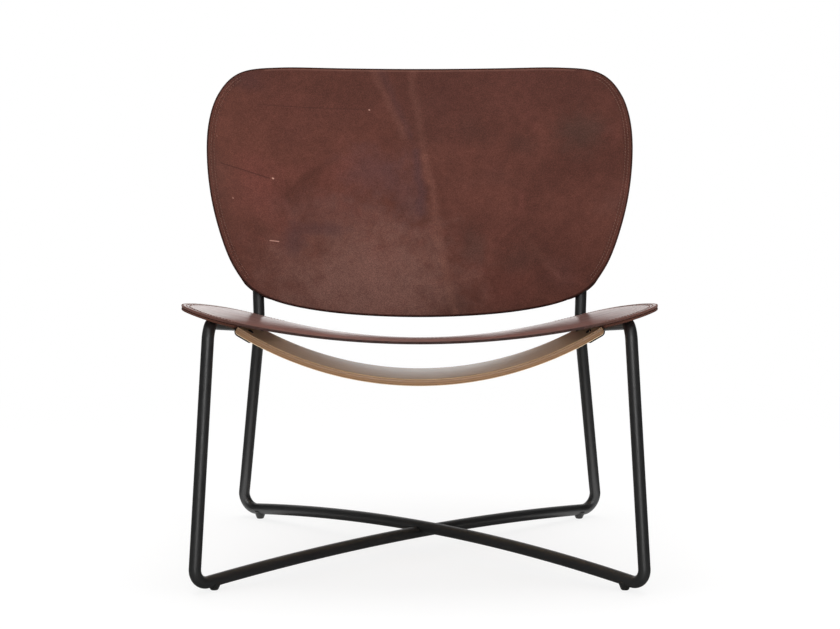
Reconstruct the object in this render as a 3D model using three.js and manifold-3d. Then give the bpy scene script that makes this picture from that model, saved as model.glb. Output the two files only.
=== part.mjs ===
// Leather sling lounge chair: two bent steel tubes that cross under the seat, a sagging leather
// seat and back, and a curved wooden bow between the side rails. Millimetres, +Z up, front at -Y.

import * as THREE from 'three';
import Module from 'manifold-3d';
import { mergeVertices } from 'three/addons/utils/BufferGeometryUtils.js';

const wasm = await Module();
wasm.setup();

// Clearances
const seatingGap = 0.3;
const plyGap = 0.5;
const cutOverrun = 5;

// Steel tubes: centreline places of the corners, before their bends
const tubeRadius = 9;
const tubeWall = 2;
const tubeSides = 20;
const bendRadius = 23;
const uprightBendRadius = 60;
const bendSteps = 7;
const archSteps = 12;
const footHeight = 11;
const frontFootHalfWidth = 324;
const frontFootLead = 23;
const rearFootHalfWidth = 297;
const rearFootBehind = 544;
const railFrontHalfWidth = 301;
const railFrontHeight = 388.5;
const railRearHalfWidth = 255.5;
const railRearBehind = 382;
const railRearHeight = 338;
const upperArchRise = 26.5;
const lowerArchRise = 17.5;
const backLean = THREE.MathUtils.degToRad(25);
const uprightSplay = THREE.MathUtils.degToRad(3);
const uprightLength = 330;

// End plugs of the uprights
const plugDepth = 20;
const plugCapThickness = 3;
const plugEdgeRound = 1.2;
const socketDepth = 24;

// Glides under the feet, on the floor diagonals
const frontGlideFromCorner = 36.5;
const rearGlideFromCorner = 42;
const glideFootRadius = 6;
const glideRimRadius = 10.5;
const glideRimAboveTubeBottom = 6.5;
const glideEdge = 1;
const glidePinRadius = 2.5;
const glidePinDepth = 6;

// Leather: one outline for seat and back, its wide end up on the back and to the front on the seat.
// Half of it, as shares of the half width and of the reach above and below the widest line.
const outlineShares = [
  [0, 1],
  [0.38, 0.99],
  [0.67, 0.96],
  [0.855, 0.87],
  [0.955, 0.63],
  [1, 0.265],
  [0.995, -0.13],
  [0.949, -0.44],
  [0.86, -0.735],
  [0.73, -0.9],
  [0.46, -0.976],
  [0, -1],
];
const outlineStepsPerSpan = 3;
const plyThickness = 3.8;
const plyEdge = 0.8;
const sheetRingShares = [0.2, 0.4, 0.6, 0.8, 0.93];

// Seat leather, lying over the side rails
const seatHalfWidth = 349;
const seatWidestBehind = 135;
const seatFrontReach = 170;
const seatRearReach = 272;
const seatSag = 36.5;
const seatLiftFront = 13.8;
const seatLiftRear = 19.3;
const seatWingDroop = 4.8;
const seatLipDrop = 4;
const seatLipStart = 60;
const seatLipLength = 95;
const doublerInboard = 43;
const slotHalfWidth = 9.8;
const slotFrontBehind = 4;
const slotRearBehind = 292;
const slotEndSteps = 8;

// Back leather, standing on the uprights, measured along their lean from the side rails' ends
const backHalfWidth = 345;
const backWidestUp = 291;
const backTopReach = 166;
const backBottomReach = 269;
const backSag = 30;
const backLift = 13.8;
const backWingDroop = 5.8;
const wingDroopSpan = 85;
const pocketInnerWidth = 19;
const pocketOuterWidth = 26;
const pocketSeam = 3;
const pocketPlay = 1.2;
const pocketFadeStart = 12;
const pocketFadeLength = 45;
const pocketRows = 18;
const pocketRoundness = 1.1;
const pocketHemSlope = 0.3;
const pocketHemFreedom = 1.2;
const pocketBulgeShares = [0.2, 0.4, 0.6, 0.8, 1];
const pocketWingShares = [0.3, 0.6, 1];

// Keeper straps that hold the seat's doublers down on the rails
const keeperBehind = 298;
const keeperWidth = 40;
const keeperThickness = 2.5;
const keeperFlange = 28;
const keeperSteps = 12;
const keeperGap = 0.5;
const rivetFromRail = 20;
const rivetHeadRadius = 4;
const rivetHeadHeight = 1.4;
const rivetShankRadius = 1.8;
const rivetPlay = 0.3;

// Wooden bow between the rails
const bowRadius = 508;
const bowAboveRailFront = 3.5;
const bowAboveRailRear = 10.5;
const bowThickness = 10.5;
const bowFrontBehind = 150;
const bowWidth = 126;
const bowCorner = 2.5;
const bowCornerSteps = 2;
const bowHalfSteps = 18;
const bowEndRound = 5;
const bowEndSteps = 3;

// Steel plates that pass under the bow and up its ends, and the screws through both
const plateThickness = 2;
const plateInset = 4;
const plateReach = 37;
const plateLegTop = 2.5;
const plateSteps = 4;
const bowEndGap = plateThickness + 2 * seatingGap;
const bowScrewFromRail = 27;
const bowScrewInset = 28;
const screwHeadRadius = 4.5;
const screwHeadHeight = 2;
const screwShankRadius = 2.5;
const screwPlay = 0.3;
const screwLift = 0.4;
const nutRadius = 4;
const nutHeight = 1.2;
const fastenerSides = 12;

// Finishes
const blackSteel = { color: 0x17181a, roughness: 0.42, metalness: 0.2 };
const blackPlastic = { color: 0x141415, roughness: 0.6, metalness: 0 };
const brownLeather = { color: 0x5f2e26, roughness: 0.5, metalness: 0 };
const paleWood = { color: 0xb59a72, roughness: 0.6, metalness: 0 };

const chair = new THREE.Group();

const up = new THREE.Vector3(0, 0, 1);
const sideNames = { [-1]: 'left', 1: 'right' };

function addPiece(name, geometry, finish) {
  geometry.computeVertexNormals();
  const mesh = new THREE.Mesh(geometry, new THREE.MeshStandardMaterial(finish));
  mesh.name = name;
  chair.add(mesh);
  return mesh;
}

// A closed mesh as a solid for cutting, and back

function solidOf(geometry) {
  geometry.deleteAttribute('normal');
  geometry.deleteAttribute('uv');
  const merged = mergeVertices(geometry);
  const vertProperties = Float32Array.from(merged.attributes.position.array);
  const triVerts = Uint32Array.from(merged.index.array);
  return new wasm.Manifold(new wasm.Mesh({ numProp: 3, vertProperties, triVerts }));
}

function geometryOf(solid) {
  const mesh = solid.getMesh();
  const geometry = new THREE.BufferGeometry();
  geometry.setAttribute('position', new THREE.BufferAttribute(mesh.vertProperties, 3));
  geometry.setIndex(new THREE.BufferAttribute(mesh.triVerts, 1));
  return geometry;
}

// A skin over a row of closed rings, with a middle point at each end
function loftRings(rings, startPoint, endPoint) {
  const sides = rings[0].length;
  const points = [startPoint, ...rings.flat(), endPoint];
  const last = points.length - 1;
  const triangles = [];
  for (let i = 0; i < sides; i++) {
    const j = (i + 1) % sides;
    triangles.push(0, 1 + i, 1 + j);
    for (let r = 0; r < rings.length - 1; r++) {
      const a = 1 + r * sides + i;
      const b = 1 + r * sides + j;
      triangles.push(a, a + sides, b, b, a + sides, b + sides);
    }
    const tail = 1 + (rings.length - 1) * sides;
    triangles.push(tail + i, last, tail + j);
  }
  const geometry = new THREE.BufferGeometry().setFromPoints(points);
  geometry.setIndex(triangles);
  return geometry;
}

// A slab between an upper and a lower grid of points, closed along its four sides
function slabBetween(upper, lower) {
  const rows = upper.length;
  const columns = upper[0].length;
  const points = [...upper.flat(), ...lower.flat()];
  const shift = rows * columns;
  const triangles = [];
  const quad = (a, b, c, d) => triangles.push(a, b, c, a, c, d);
  for (let r = 0; r < rows - 1; r++) {
    for (let c = 0; c < columns - 1; c++) {
      const a = r * columns + c;
      quad(a, a + 1, a + columns + 1, a + columns);
      quad(a + shift, a + columns + shift, a + columns + 1 + shift, a + 1 + shift);
    }
  }
  const edge = (a, b) => quad(a, a + shift, b + shift, b);
  for (let c = 0; c < columns - 1; c++) {
    edge(c, c + 1);
    edge((rows - 1) * columns + c + 1, (rows - 1) * columns + c);
  }
  for (let r = 0; r < rows - 1; r++) {
    edge((r + 1) * columns, r * columns);
    edge(r * columns + columns - 1, (r + 1) * columns + columns - 1);
  }
  const geometry = new THREE.BufferGeometry().setFromPoints(points);
  geometry.setIndex(triangles);
  return geometry;
}

// A flat outline carried straight up from one height to another
function prism(points, from, to) {
  const shape = new THREE.Shape(points);
  const geometry = new THREE.ExtrudeGeometry(shape, { depth: to - from, bevelEnabled: false });
  geometry.translate(0, 0, from);
  return geometry;
}

// A turned piece whose axis starts at a point and runs along a direction
function turned(profile, start, direction, sides) {
  const points = profile.map(([radius, along]) => new THREE.Vector2(radius, along));
  const geometry = new THREE.LatheGeometry(points, sides);
  const yAxis = new THREE.Vector3(0, 1, 0);
  const turn = new THREE.Quaternion().setFromUnitVectors(yAxis, direction.clone().normalize());
  geometry.applyQuaternion(turn);
  geometry.translate(start.x, start.y, start.z);
  return geometry;
}

function rod(radius, start, direction, length, sides) {
  return turned([[0, 0], [radius, 0], [radius, length], [0, length]], start, direction, sides);
}

// Tube centrelines

// A path that an extrusion follows one station at a time
class StationPath extends THREE.Curve {
  constructor(stations) {
    super();
    this.stations = stations;
  }

  stationAt(share) {
    return Math.round(share * (this.stations.length - 1));
  }

  getPointAt(share) {
    return this.stations[this.stationAt(share)].clone();
  }

  getTangentAt(share) {
    const i = this.stationAt(share);
    const here = this.stations[i];
    const before = this.stations[Math.max(0, i - 1)];
    const after = this.stations[Math.min(this.stations.length - 1, i + 1)];
    const into = here.clone().sub(before).normalize();
    const outOf = after.clone().sub(here).normalize();
    return into.add(outOf).normalize();
  }
}

// The arc that rounds a corner, as its points, its middle and the corner's inward direction
function roundCorner(before, corner, after, radius, steps) {
  const toBefore = before.clone().sub(corner).normalize();
  const toAfter = after.clone().sub(corner).normalize();
  const inward = toBefore.clone().add(toAfter).normalize();
  const half = toBefore.angleTo(toAfter) / 2;
  const centre = corner.clone().addScaledVector(inward, radius / Math.sin(half));
  const tangentLength = radius / Math.tan(half);
  const first = corner.clone().addScaledVector(toBefore, tangentLength).sub(centre);
  const last = corner.clone().addScaledVector(toAfter, tangentLength).sub(centre);
  const sweep = Math.PI - 2 * half;
  const points = [];
  for (let i = 0; i <= steps; i++) {
    const angle = sweep * i / steps;
    const point = first.clone().multiplyScalar(Math.sin(sweep - angle) / Math.sin(sweep));
    point.addScaledVector(last, Math.sin(angle) / Math.sin(sweep));
    points.push(point.add(centre));
  }
  return { points, setback: radius / Math.sin(half) - radius, inward };
}

const railLine = (behind) => {
  const share = behind / railRearBehind;
  return new THREE.Vector3(
    THREE.MathUtils.lerp(railFrontHalfWidth, railRearHalfWidth, share),
    behind,
    THREE.MathUtils.lerp(railFrontHeight, railRearHeight, share),
  );
};

const uprightDirection = new THREE.Vector3(
  Math.tan(uprightSplay),
  Math.sin(backLean),
  Math.cos(backLean),
).normalize();

const mirrored = (point, side) => new THREE.Vector3(point.x * side, point.y, point.z);

const frameCorners = {
  railRear: railLine(railRearBehind),
  railFront: railLine(0),
  frontFoot: new THREE.Vector3(frontFootHalfWidth, -frontFootLead, footHeight),
  rearFoot: new THREE.Vector3(rearFootHalfWidth, rearFootBehind, footHeight),
  uprightTop: railLine(railRearBehind).addScaledVector(uprightDirection, uprightLength),
};

// Height that the floor diagonal has gained at a share of its length
const archRise = (share, rise) => rise * (1 - (2 * share - 1) ** 2);

// One tube: upright and rear leg on its own side, front leg and rail on the other side
function tubeStations(side, rise) {
  const top = mirrored(frameCorners.uprightTop, side);
  const kink = mirrored(frameCorners.railRear, side);
  const rearFoot = mirrored(frameCorners.rearFoot, side);
  const frontFoot = mirrored(frameCorners.frontFoot, -side);
  const frontTop = mirrored(frameCorners.railFront, -side);
  const railEnd = mirrored(frameCorners.railRear, -side);
  const kinkBend = roundCorner(top, kink, rearFoot, uprightBendRadius, bendSteps);
  const rearBend = roundCorner(kink, rearFoot, frontFoot, bendRadius, bendSteps);
  const frontBend = roundCorner(rearFoot, frontFoot, frontTop, bendRadius, bendSteps);
  const topBend = roundCorner(frontFoot, frontTop, railEnd, bendRadius, bendSteps);

  const run = frontFoot.clone().sub(rearFoot);
  const shareAlong = (point) => point.clone().sub(rearFoot).dot(run) / run.lengthSq();
  const lifted = (point) => {
    const share = THREE.MathUtils.clamp(shareAlong(point), 0, 1);
    return point.clone().addScaledVector(up, archRise(share, rise));
  };
  const diagonal = [];
  const from = rearBend.points.at(-1);
  const to = frontBend.points[0];
  for (let i = 1; i < archSteps; i++) {
    diagonal.push(lifted(from.clone().lerp(to, i / archSteps)));
  }

  const railDirection = railEnd.clone().sub(frontTop).normalize();
  const seatedEnd = railEnd.clone().addScaledVector(railDirection, kinkBend.setback);
  return [
    top,
    ...kinkBend.points,
    ...rearBend.points.map(lifted),
    ...diagonal,
    ...frontBend.points.map(lifted),
    ...topBend.points,
    seatedEnd,
  ];
}

function circleShape(radius, sides) {
  const points = [];
  for (let i = 0; i < sides; i++) {
    const angle = 2 * Math.PI * i / sides;
    points.push(new THREE.Vector2(radius * Math.cos(angle), radius * Math.sin(angle)));
  }
  return new THREE.Shape(points);
}

function tubeAlong(stations, radius) {
  return new THREE.ExtrudeGeometry(circleShape(radius, tubeSides), {
    steps: stations.length - 1,
    extrudePath: new StationPath(stations),
    bevelEnabled: false,
  });
}

const upperStations = tubeStations(-1, upperArchRise);
const lowerStations = tubeStations(1, lowerArchRise);
const upperTube = solidOf(tubeAlong(upperStations, tubeRadius));
const lowerTube = solidOf(tubeAlong(lowerStations, tubeRadius));
const upperTubeRoom = solidOf(tubeAlong(upperStations, tubeRadius + seatingGap));
const lowerTubeRoom = solidOf(tubeAlong(lowerStations, tubeRadius + seatingGap));

// Upright and rear leg of the lower tube alone, which the upper tube's rail ends against
const lowerPostStations = lowerStations.slice(0, bendSteps + 2);
lowerPostStations.push(lowerStations[bendSteps + 1].clone().lerp(lowerStations[bendSteps + 2], 0.5));
const lowerPostRoom = solidOf(tubeAlong(lowerPostStations, tubeRadius + seatingGap));

// Glides

// Centreline point and direction of a floor diagonal at a distance in from one of its corners
function diagonalPoint(side, rise, fromRear, distance) {
  const rearFoot = mirrored(frameCorners.rearFoot, side);
  const frontFoot = mirrored(frameCorners.frontFoot, -side);
  const run = frontFoot.clone().sub(rearFoot);
  const share = fromRear ? distance / run.length() : 1 - distance / run.length();
  return rearFoot.addScaledVector(run, share).addScaledVector(up, archRise(share, rise));
}

const glidePlaces = {
  glide_rear_left: diagonalPoint(-1, upperArchRise, true, rearGlideFromCorner),
  glide_front_right: diagonalPoint(-1, upperArchRise, false, frontGlideFromCorner),
  glide_rear_right: diagonalPoint(1, lowerArchRise, true, rearGlideFromCorner),
  glide_front_left: diagonalPoint(1, lowerArchRise, false, frontGlideFromCorner),
};

function glidePinHole(place) {
  const foot = new THREE.Vector3(place.x, place.y, 0);
  const top = place.z - tubeRadius + glidePinDepth + seatingGap;
  return solidOf(rod(glidePinRadius + seatingGap, foot, up, top, fastenerSides));
}

function glide(place) {
  const foot = new THREE.Vector3(place.x, place.y, 0);
  const rim = place.z - tubeRadius + glideRimAboveTubeBottom;
  const body = solidOf(turned([
    [0, 0],
    [glideFootRadius - glideEdge, 0],
    [glideFootRadius, glideEdge],
    [glideRimRadius, rim - glideEdge],
    [glideRimRadius - glideEdge, rim],
    [0, rim],
  ], foot, up, tubeSides));
  const pinTop = place.z - tubeRadius + glidePinDepth;
  const pin = solidOf(rod(glidePinRadius, foot, up, pinTop, fastenerSides));
  return body.subtract(upperTubeRoom).subtract(lowerTubeRoom).add(pin);
}

function makeGlides() {
  for (const [name, place] of Object.entries(glidePlaces)) {
    addPiece(name, geometryOf(glide(place)), blackPlastic);
  }
}

// Frame

function uprightSocket(side) {
  const top = mirrored(frameCorners.uprightTop, side);
  const direction = mirrored(uprightDirection, side);
  const start = top.clone().addScaledVector(direction, -socketDepth);
  return solidOf(rod(tubeRadius - tubeWall, start, direction, socketDepth + cutOverrun, tubeSides));
}

function makeFrame() {
  const upper = upperTube
    .subtract(lowerPostRoom)
    .subtract(uprightSocket(-1))
    .subtract(glidePinHole(glidePlaces.glide_rear_left))
    .subtract(glidePinHole(glidePlaces.glide_front_right));
  const lower = lowerTube
    .subtract(upperTubeRoom)
    .subtract(uprightSocket(1))
    .subtract(glidePinHole(glidePlaces.glide_rear_right))
    .subtract(glidePinHole(glidePlaces.glide_front_left));
  addPiece('frame_tube_upper', geometryOf(upper), blackSteel);
  addPiece('frame_tube_lower', geometryOf(lower), blackSteel);
}

function makeUprightPlugs() {
  const stem = tubeRadius - tubeWall - seatingGap;
  for (const [name, side] of [['upright_plug_left', -1], ['upright_plug_right', 1]]) {
    const top = mirrored(frameCorners.uprightTop, side);
    const direction = mirrored(uprightDirection, side);
    const plug = turned([
      [0, -plugDepth],
      [stem, -plugDepth],
      [stem, seatingGap],
      [tubeRadius, seatingGap],
      [tubeRadius, plugCapThickness - plugEdgeRound],
      [tubeRadius - plugEdgeRound, plugCapThickness],
      [0, plugCapThickness],
    ], top, direction, tubeSides);
    addPiece(name, geometryOf(solidOf(plug)), blackPlastic);
  }
}

// Leather outline

// A smooth closed curve through the outline's points, widest line at zero
function leatherOutline(halfWidth, wideReach, narrowReach) {
  const half = outlineShares.map(([across, along]) => new THREE.Vector3(
    across * halfWidth,
    along * (along > 0 ? wideReach : narrowReach),
    0,
  ));
  const otherHalf = half.slice(1, -1).reverse().map((point) => mirrored(point, -1));
  const curve = new THREE.CatmullRomCurve3([...half, ...otherHalf], true, 'catmullrom', 0.5);
  const steps = curve.points.length * outlineStepsPerSpan;
  const points = curve.getPoints(steps).slice(0, steps);
  return points.map((point) => new THREE.Vector2(point.x, point.y)).reverse();
}

// One ply: rings of the outline shrunk to its middle, above and below, with a broken edge
function plySheet(outline, height, above, below) {
  const place = (point, share, inset, drop) => {
    const length = point.length();
    const flat = point.clone().multiplyScalar(share * (length - inset) / length);
    return new THREE.Vector3(flat.x, flat.y, height(flat.x, flat.y) + drop);
  };
  const ring = (share, inset, drop) => outline.map((point) => place(point, share, inset, drop));
  const middle = new THREE.Vector2();
  const topMiddle = new THREE.Vector3(0, 0, height(middle.x, middle.y) + above);
  const bottomMiddle = new THREE.Vector3(0, 0, height(middle.x, middle.y) + below);
  const rings = [
    ...sheetRingShares.map((share) => ring(share, 0, above)),
    ring(1, plyEdge, above),
    ring(1, 0, above - plyEdge),
    ring(1, 0, below + plyEdge),
    ring(1, plyEdge, below),
    ...sheetRingShares.toReversed().map((share) => ring(share, 0, below)),
  ];
  return loftRings(rings, topMiddle, bottomMiddle);
}

// How far a sheet's wing droops outside the tube that carries it
const wingDroopAt = (outside, droop) => droop * (Math.max(0, outside) / wingDroopSpan) ** 2;

// Seat

// Height of the seat's top face, over a place given from the outline's middle
function seatHeight(x, y) {
  const behind = seatWidestBehind - y;
  const rail = railLine(behind);
  const lift = THREE.MathUtils.lerp(seatLiftFront, seatLiftRear, behind / railRearBehind);
  const sag = seatSag * (1 - (x / rail.x) ** 2);
  const lipShare = Math.max(0, seatLipStart - behind) / seatLipLength;
  const droop = wingDroopAt(Math.abs(x) - rail.x, seatWingDroop);
  return rail.z + lift - sag - droop - seatLipDrop * lipShare ** 2;
}

const seatOutline = leatherOutline(seatHalfWidth, seatFrontReach, seatRearReach);

// The outline's wide end points to the front, so the sheet is turned about the vertical
const seatPlace = new THREE.Matrix4()
  .makeTranslation(0, seatWidestBehind, 0)
  .multiply(new THREE.Matrix4().makeRotationZ(Math.PI));

// A flat shape beside the left or right rail, given as distances out from it and behind the front
function besideRail(side, places) {
  const points = places.map(([outward, behind]) => {
    const rail = railLine(behind);
    return new THREE.Vector2(side * (rail.x + outward), behind);
  });
  return side > 0 ? points : points.reverse();
}

function railSlot(side) {
  const places = [];
  for (let i = 0; i <= slotEndSteps; i++) {
    const angle = Math.PI + Math.PI * i / slotEndSteps;
    const behind = slotFrontBehind + slotHalfWidth * (1 + Math.sin(angle));
    places.push([slotHalfWidth * Math.cos(angle), behind]);
  }
  for (let i = 0; i <= slotEndSteps; i++) {
    const angle = Math.PI * i / slotEndSteps;
    const behind = slotRearBehind - slotHalfWidth * (1 - Math.sin(angle));
    places.push([slotHalfWidth * Math.cos(angle), behind]);
  }
  return solidOf(prism(besideRail(side, places), railRearHeight - seatSag, railFrontHeight * 2));
}

function wingRoom(side) {
  const front = seatWidestBehind - seatFrontReach - cutOverrun;
  const rear = seatWidestBehind + seatRearReach + cutOverrun;
  const places = [
    [-doublerInboard, front],
    [seatHalfWidth, front],
    [seatHalfWidth, rear],
    [-doublerInboard, rear],
  ];
  return solidOf(prism(besideRail(side, places), railRearHeight - seatSag, railFrontHeight * 2));
}

// Frame of a place on a rail: out from the chair's middle, back along the rail, and its normal
function railFrame(side, behind) {
  const along = railLine(railRearBehind).sub(railLine(0)).normalize();
  along.x *= side;
  const slope = 2 * seatSag / railLine(behind).x;
  const across = new THREE.Vector3(1, 0, side * slope).normalize();
  const normal = across.clone().cross(along).normalize();
  const outward = along.clone().cross(normal).normalize();
  const start = mirrored(railLine(behind), side);
  return new THREE.Matrix4().makeBasis(outward, normal, along.negate()).setPosition(start);
}

const keeperTop = () => {
  const behind = keeperBehind + keeperWidth;
  const lift = THREE.MathUtils.lerp(seatLiftFront, seatLiftRear, keeperBehind / railRearBehind);
  const slope = 2 * seatSag / railLine(behind).x;
  const plies = 2 * plyThickness + plyGap;
  return (lift - plies) / Math.hypot(1, slope) - keeperGap;
};

// A strap under the rail, flanged on both sides, as a section carried along the rail
function keeperStrap(side) {
  const inner = tubeRadius + seatingGap;
  const outer = inner + keeperThickness;
  const top = keeperTop();
  const shape = new THREE.Shape();
  shape.moveTo(inner, top);
  shape.lineTo(keeperFlange, top);
  shape.lineTo(keeperFlange, top - keeperThickness);
  shape.lineTo(outer, top - keeperThickness);
  shape.lineTo(outer, 0);
  shape.absarc(0, 0, outer, 0, Math.PI, true);
  shape.lineTo(-outer, top - keeperThickness);
  shape.lineTo(-keeperFlange, top - keeperThickness);
  shape.lineTo(-keeperFlange, top);
  shape.lineTo(-inner, top);
  shape.lineTo(-inner, 0);
  shape.absarc(0, 0, inner, Math.PI, 0, false);
  const geometry = new THREE.ExtrudeGeometry(shape, {
    depth: keeperWidth,
    curveSegments: keeperSteps,
    bevelEnabled: false,
  });
  return solidOf(geometry.applyMatrix4(railFrame(side, keeperBehind + keeperWidth)));
}

// Axis start and direction of each rivet, from under the strap's flange upwards
function rivetPlaces() {
  const places = [];
  for (const side of [-1, 1]) {
    const frame = railFrame(side, keeperBehind + keeperWidth / 2);
    const direction = new THREE.Vector3().setFromMatrixColumn(frame, 1);
    for (const outward of [-1, 1]) {
      const start = new THREE.Vector3(outward * rivetFromRail, keeperTop() - keeperThickness, 0);
      const name = `keeper_rivet_${sideNames[side]}_${outward * side < 0 ? 'inner' : 'outer'}`;
      places.push({ name, start: start.applyMatrix4(frame), direction });
    }
  }
  return places;
}

const rivetLength = keeperThickness + keeperGap + plyThickness / 2;

// The seat's rear edge is notched where it meets the uprights
const clearOfPosts = (solid) => solid.subtract(upperTubeRoom).subtract(lowerTubeRoom);

function cutRivetHoles(solid) {
  let cut = solid;
  for (const { start, direction } of rivetPlaces()) {
    const from = start.clone().addScaledVector(direction, -cutOverrun);
    const length = cutOverrun + rivetLength + seatingGap;
    const hole = rod(rivetShankRadius + rivetPlay, from, direction, length, fastenerSides);
    cut = cut.subtract(solidOf(hole));
  }
  return cut;
}

function makeSeat() {
  const top = solidOf(plySheet(seatOutline, seatHeight, 0, -plyThickness).applyMatrix4(seatPlace));
  addPiece('seat_sheet', geometryOf(clearOfPosts(top)), brownLeather);

  const lowerFace = -plyThickness - plyGap;
  for (const [name, side] of [['left', -1], ['right', 1]]) {
    const ply = plySheet(seatOutline, seatHeight, lowerFace, lowerFace - plyThickness);
    const doubler = solidOf(ply.applyMatrix4(seatPlace))
      .intersect(wingRoom(side))
      .subtract(railSlot(side));
    const drilled = cutRivetHoles(clearOfPosts(doubler));
    addPiece(`seat_doubler_${name}`, geometryOf(drilled), brownLeather);
    addPiece(`seat_keeper_${name}`, geometryOf(cutRivetHoles(keeperStrap(side))), brownLeather);
  }
}

function makeKeeperRivets() {
  for (const { name, start, direction } of rivetPlaces()) {
    const rivet = solidOf(turned([
      [0, -rivetHeadHeight - seatingGap],
      [rivetHeadRadius / 2, -rivetHeadHeight - seatingGap],
      [rivetHeadRadius, -rivetHeadHeight / 2 - seatingGap],
      [rivetHeadRadius, -seatingGap],
      [rivetShankRadius, -seatingGap],
      [rivetShankRadius, rivetLength],
      [0, rivetLength],
    ], start, direction, fastenerSides));
    addPiece(name, geometryOf(rivet), blackSteel);
  }
}

// Back

const backOutline = leatherOutline(backHalfWidth, backTopReach, backBottomReach);

// The back's own frame: across, up along the lean from the widest line, and out to the sitter
const backPlace = new THREE.Matrix4().makeBasis(
  new THREE.Vector3(1, 0, 0),
  new THREE.Vector3(0, Math.sin(backLean), Math.cos(backLean)),
  new THREE.Vector3(0, -Math.cos(backLean), Math.sin(backLean)),
).setPosition(new THREE.Vector3(
  0,
  railRearBehind + backWidestUp * Math.sin(backLean),
  railRearHeight + backWidestUp * Math.cos(backLean),
));

// Half distance between the uprights' centrelines at a height in the back's frame
const uprightX = (y) => railRearHalfWidth + (backWidestUp + y) * Math.tan(uprightSplay);

// Height of the back's front face over the plane of the uprights
function backHeight(x, y) {
  const carrier = uprightX(y);
  const sag = backSag * (1 - (x / carrier) ** 2);
  return backLift - sag - wingDroopAt(Math.abs(x) - carrier, backWingDroop);
}

// How far the pocket ply bulges to the rear, to pass behind the upright
function pocketBulge(outward, y) {
  const depth = backLift - plyThickness + tubeRadius + pocketPlay;
  const width = outward < 0 ? pocketInnerWidth : pocketOuterWidth;
  const share = Math.min(1, Math.abs(outward) / width);
  const past = backWidestUp + y - uprightLength - pocketFadeStart;
  const fade = 1 - THREE.MathUtils.smoothstep(past, 0, pocketFadeLength);
  return depth * fade * (1 - share ** 2) ** pocketRoundness;
}

function pocketPly(side) {
  const outer = backHalfWidth + cutOverrun;
  const upper = [];
  const lower = [];
  const bottom = -backBottomReach - cutOverrun;
  const top = backTopReach + cutOverrun;
  for (let row = 0; row <= pocketRows; row++) {
    const y = THREE.MathUtils.lerp(bottom, top, row / pocketRows);
    const carrier = uprightX(y);
    const places = [-pocketInnerWidth - pocketSeam];
    places.push(...pocketBulgeShares.toReversed().map((share) => -share * pocketInnerWidth));
    places.push(0);
    places.push(...pocketBulgeShares.map((share) => share * pocketOuterWidth));
    const wing = outer - carrier - pocketOuterWidth;
    places.push(...pocketWingShares.map((share) => pocketOuterWidth + share * wing));
    const face = places.map((outward) => {
      const x = carrier + outward;
      const z = backHeight(x, y) - plyThickness - plyGap - pocketBulge(outward, y);
      return new THREE.Vector3(side * x, y, z);
    });
    if (side < 0) face.reverse();
    upper.push(face);
    lower.push(face.map((point) => point.clone().addScaledVector(up, -plyThickness)));
  }
  return solidOf(slabBetween(upper, lower));
}

// The room inside the outline, with its lower rim slanted up behind the flat wing's rear face,
// so that a pocket's hem is cut back where it bulges
function pocketTrim() {
  const flatDepth = backLift - 2 * plyThickness - plyGap;
  const slant = new THREE.Matrix4().set(
    1, 0, 0, 0,
    0, 1, -pocketHemSlope, pocketHemSlope * flatDepth,
    0, 0, 1, 0,
    0, 0, 0, 1,
  );
  const hem = backOutline.map(({ x, y }) => new THREE.Vector2(x, y > 0 ? y * pocketHemFreedom : y));
  const straight = prism(backOutline, -backHalfWidth, backHalfWidth);
  const slanted = prism(hem, -backHalfWidth, backHalfWidth).applyMatrix4(slant);
  return solidOf(straight).intersect(solidOf(slanted));
}

function makeBack() {
  const front = plySheet(backOutline, backHeight, 0, -plyThickness).applyMatrix4(backPlace);
  addPiece('back_sheet', front, brownLeather);

  const trim = pocketTrim();
  for (const [name, side] of [['left', -1], ['right', 1]]) {
    const pocket = geometryOf(pocketPly(side).intersect(trim)).applyMatrix4(backPlace);
    addPiece(`back_pocket_${name}`, pocket, brownLeather);
  }
}

// Bow, bent about an axis that runs from front to back

// Height of that axis, so that the bow's top face passes a side rail at a height above its middle
function axisOverRail(behind, above) {
  const rail = railLine(behind);
  return rail.z + above + Math.sqrt(bowRadius ** 2 - rail.x ** 2);
}

function bowAxisHeight(behind) {
  const front = axisOverRail(bowFrontBehind, bowAboveRailFront);
  const rear = axisOverRail(bowFrontBehind + bowWidth, bowAboveRailRear);
  return THREE.MathUtils.lerp(front, rear, (behind - bowFrontBehind) / bowWidth);
}

// A point of the bow, by its angle from straight down, its distance behind and its radius
function bowPoint(angle, behind, radius) {
  return new THREE.Vector3(
    radius * Math.sin(angle),
    behind,
    bowAxisHeight(behind) - radius * Math.cos(angle),
  );
}

// Angle at which a side rail lies, seen along the bow's axis
function railAngle(behind) {
  const rail = railLine(behind);
  return Math.atan2(rail.x, bowAxisHeight(behind) - rail.z);
}

// A rectangle with rounded corners, as places behind and radii
function bowSection() {
  const corners = [
    [bowWidth - bowCorner, bowThickness - bowCorner],
    [bowCorner, bowThickness - bowCorner],
    [bowCorner, bowCorner],
    [bowWidth - bowCorner, bowCorner],
  ];
  const section = [];
  corners.forEach(([behind, depth], corner) => {
    for (let i = 0; i <= bowCornerSteps; i++) {
      const angle = Math.PI / 2 * (corner + i / bowCornerSteps);
      section.push([
        bowFrontBehind + behind + bowCorner * Math.cos(angle),
        bowRadius + depth + bowCorner * Math.sin(angle),
      ]);
    }
  });
  return section;
}

// A point of the bow or a plate, by its distance along the arc from a rail's centreline
function bowPointFromRail(side, fromRail, behind, radius) {
  return bowPoint(side * (railAngle(behind) - fromRail / bowRadius), behind, radius);
}

const bowEndFromRail = tubeRadius + bowEndGap;

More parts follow.
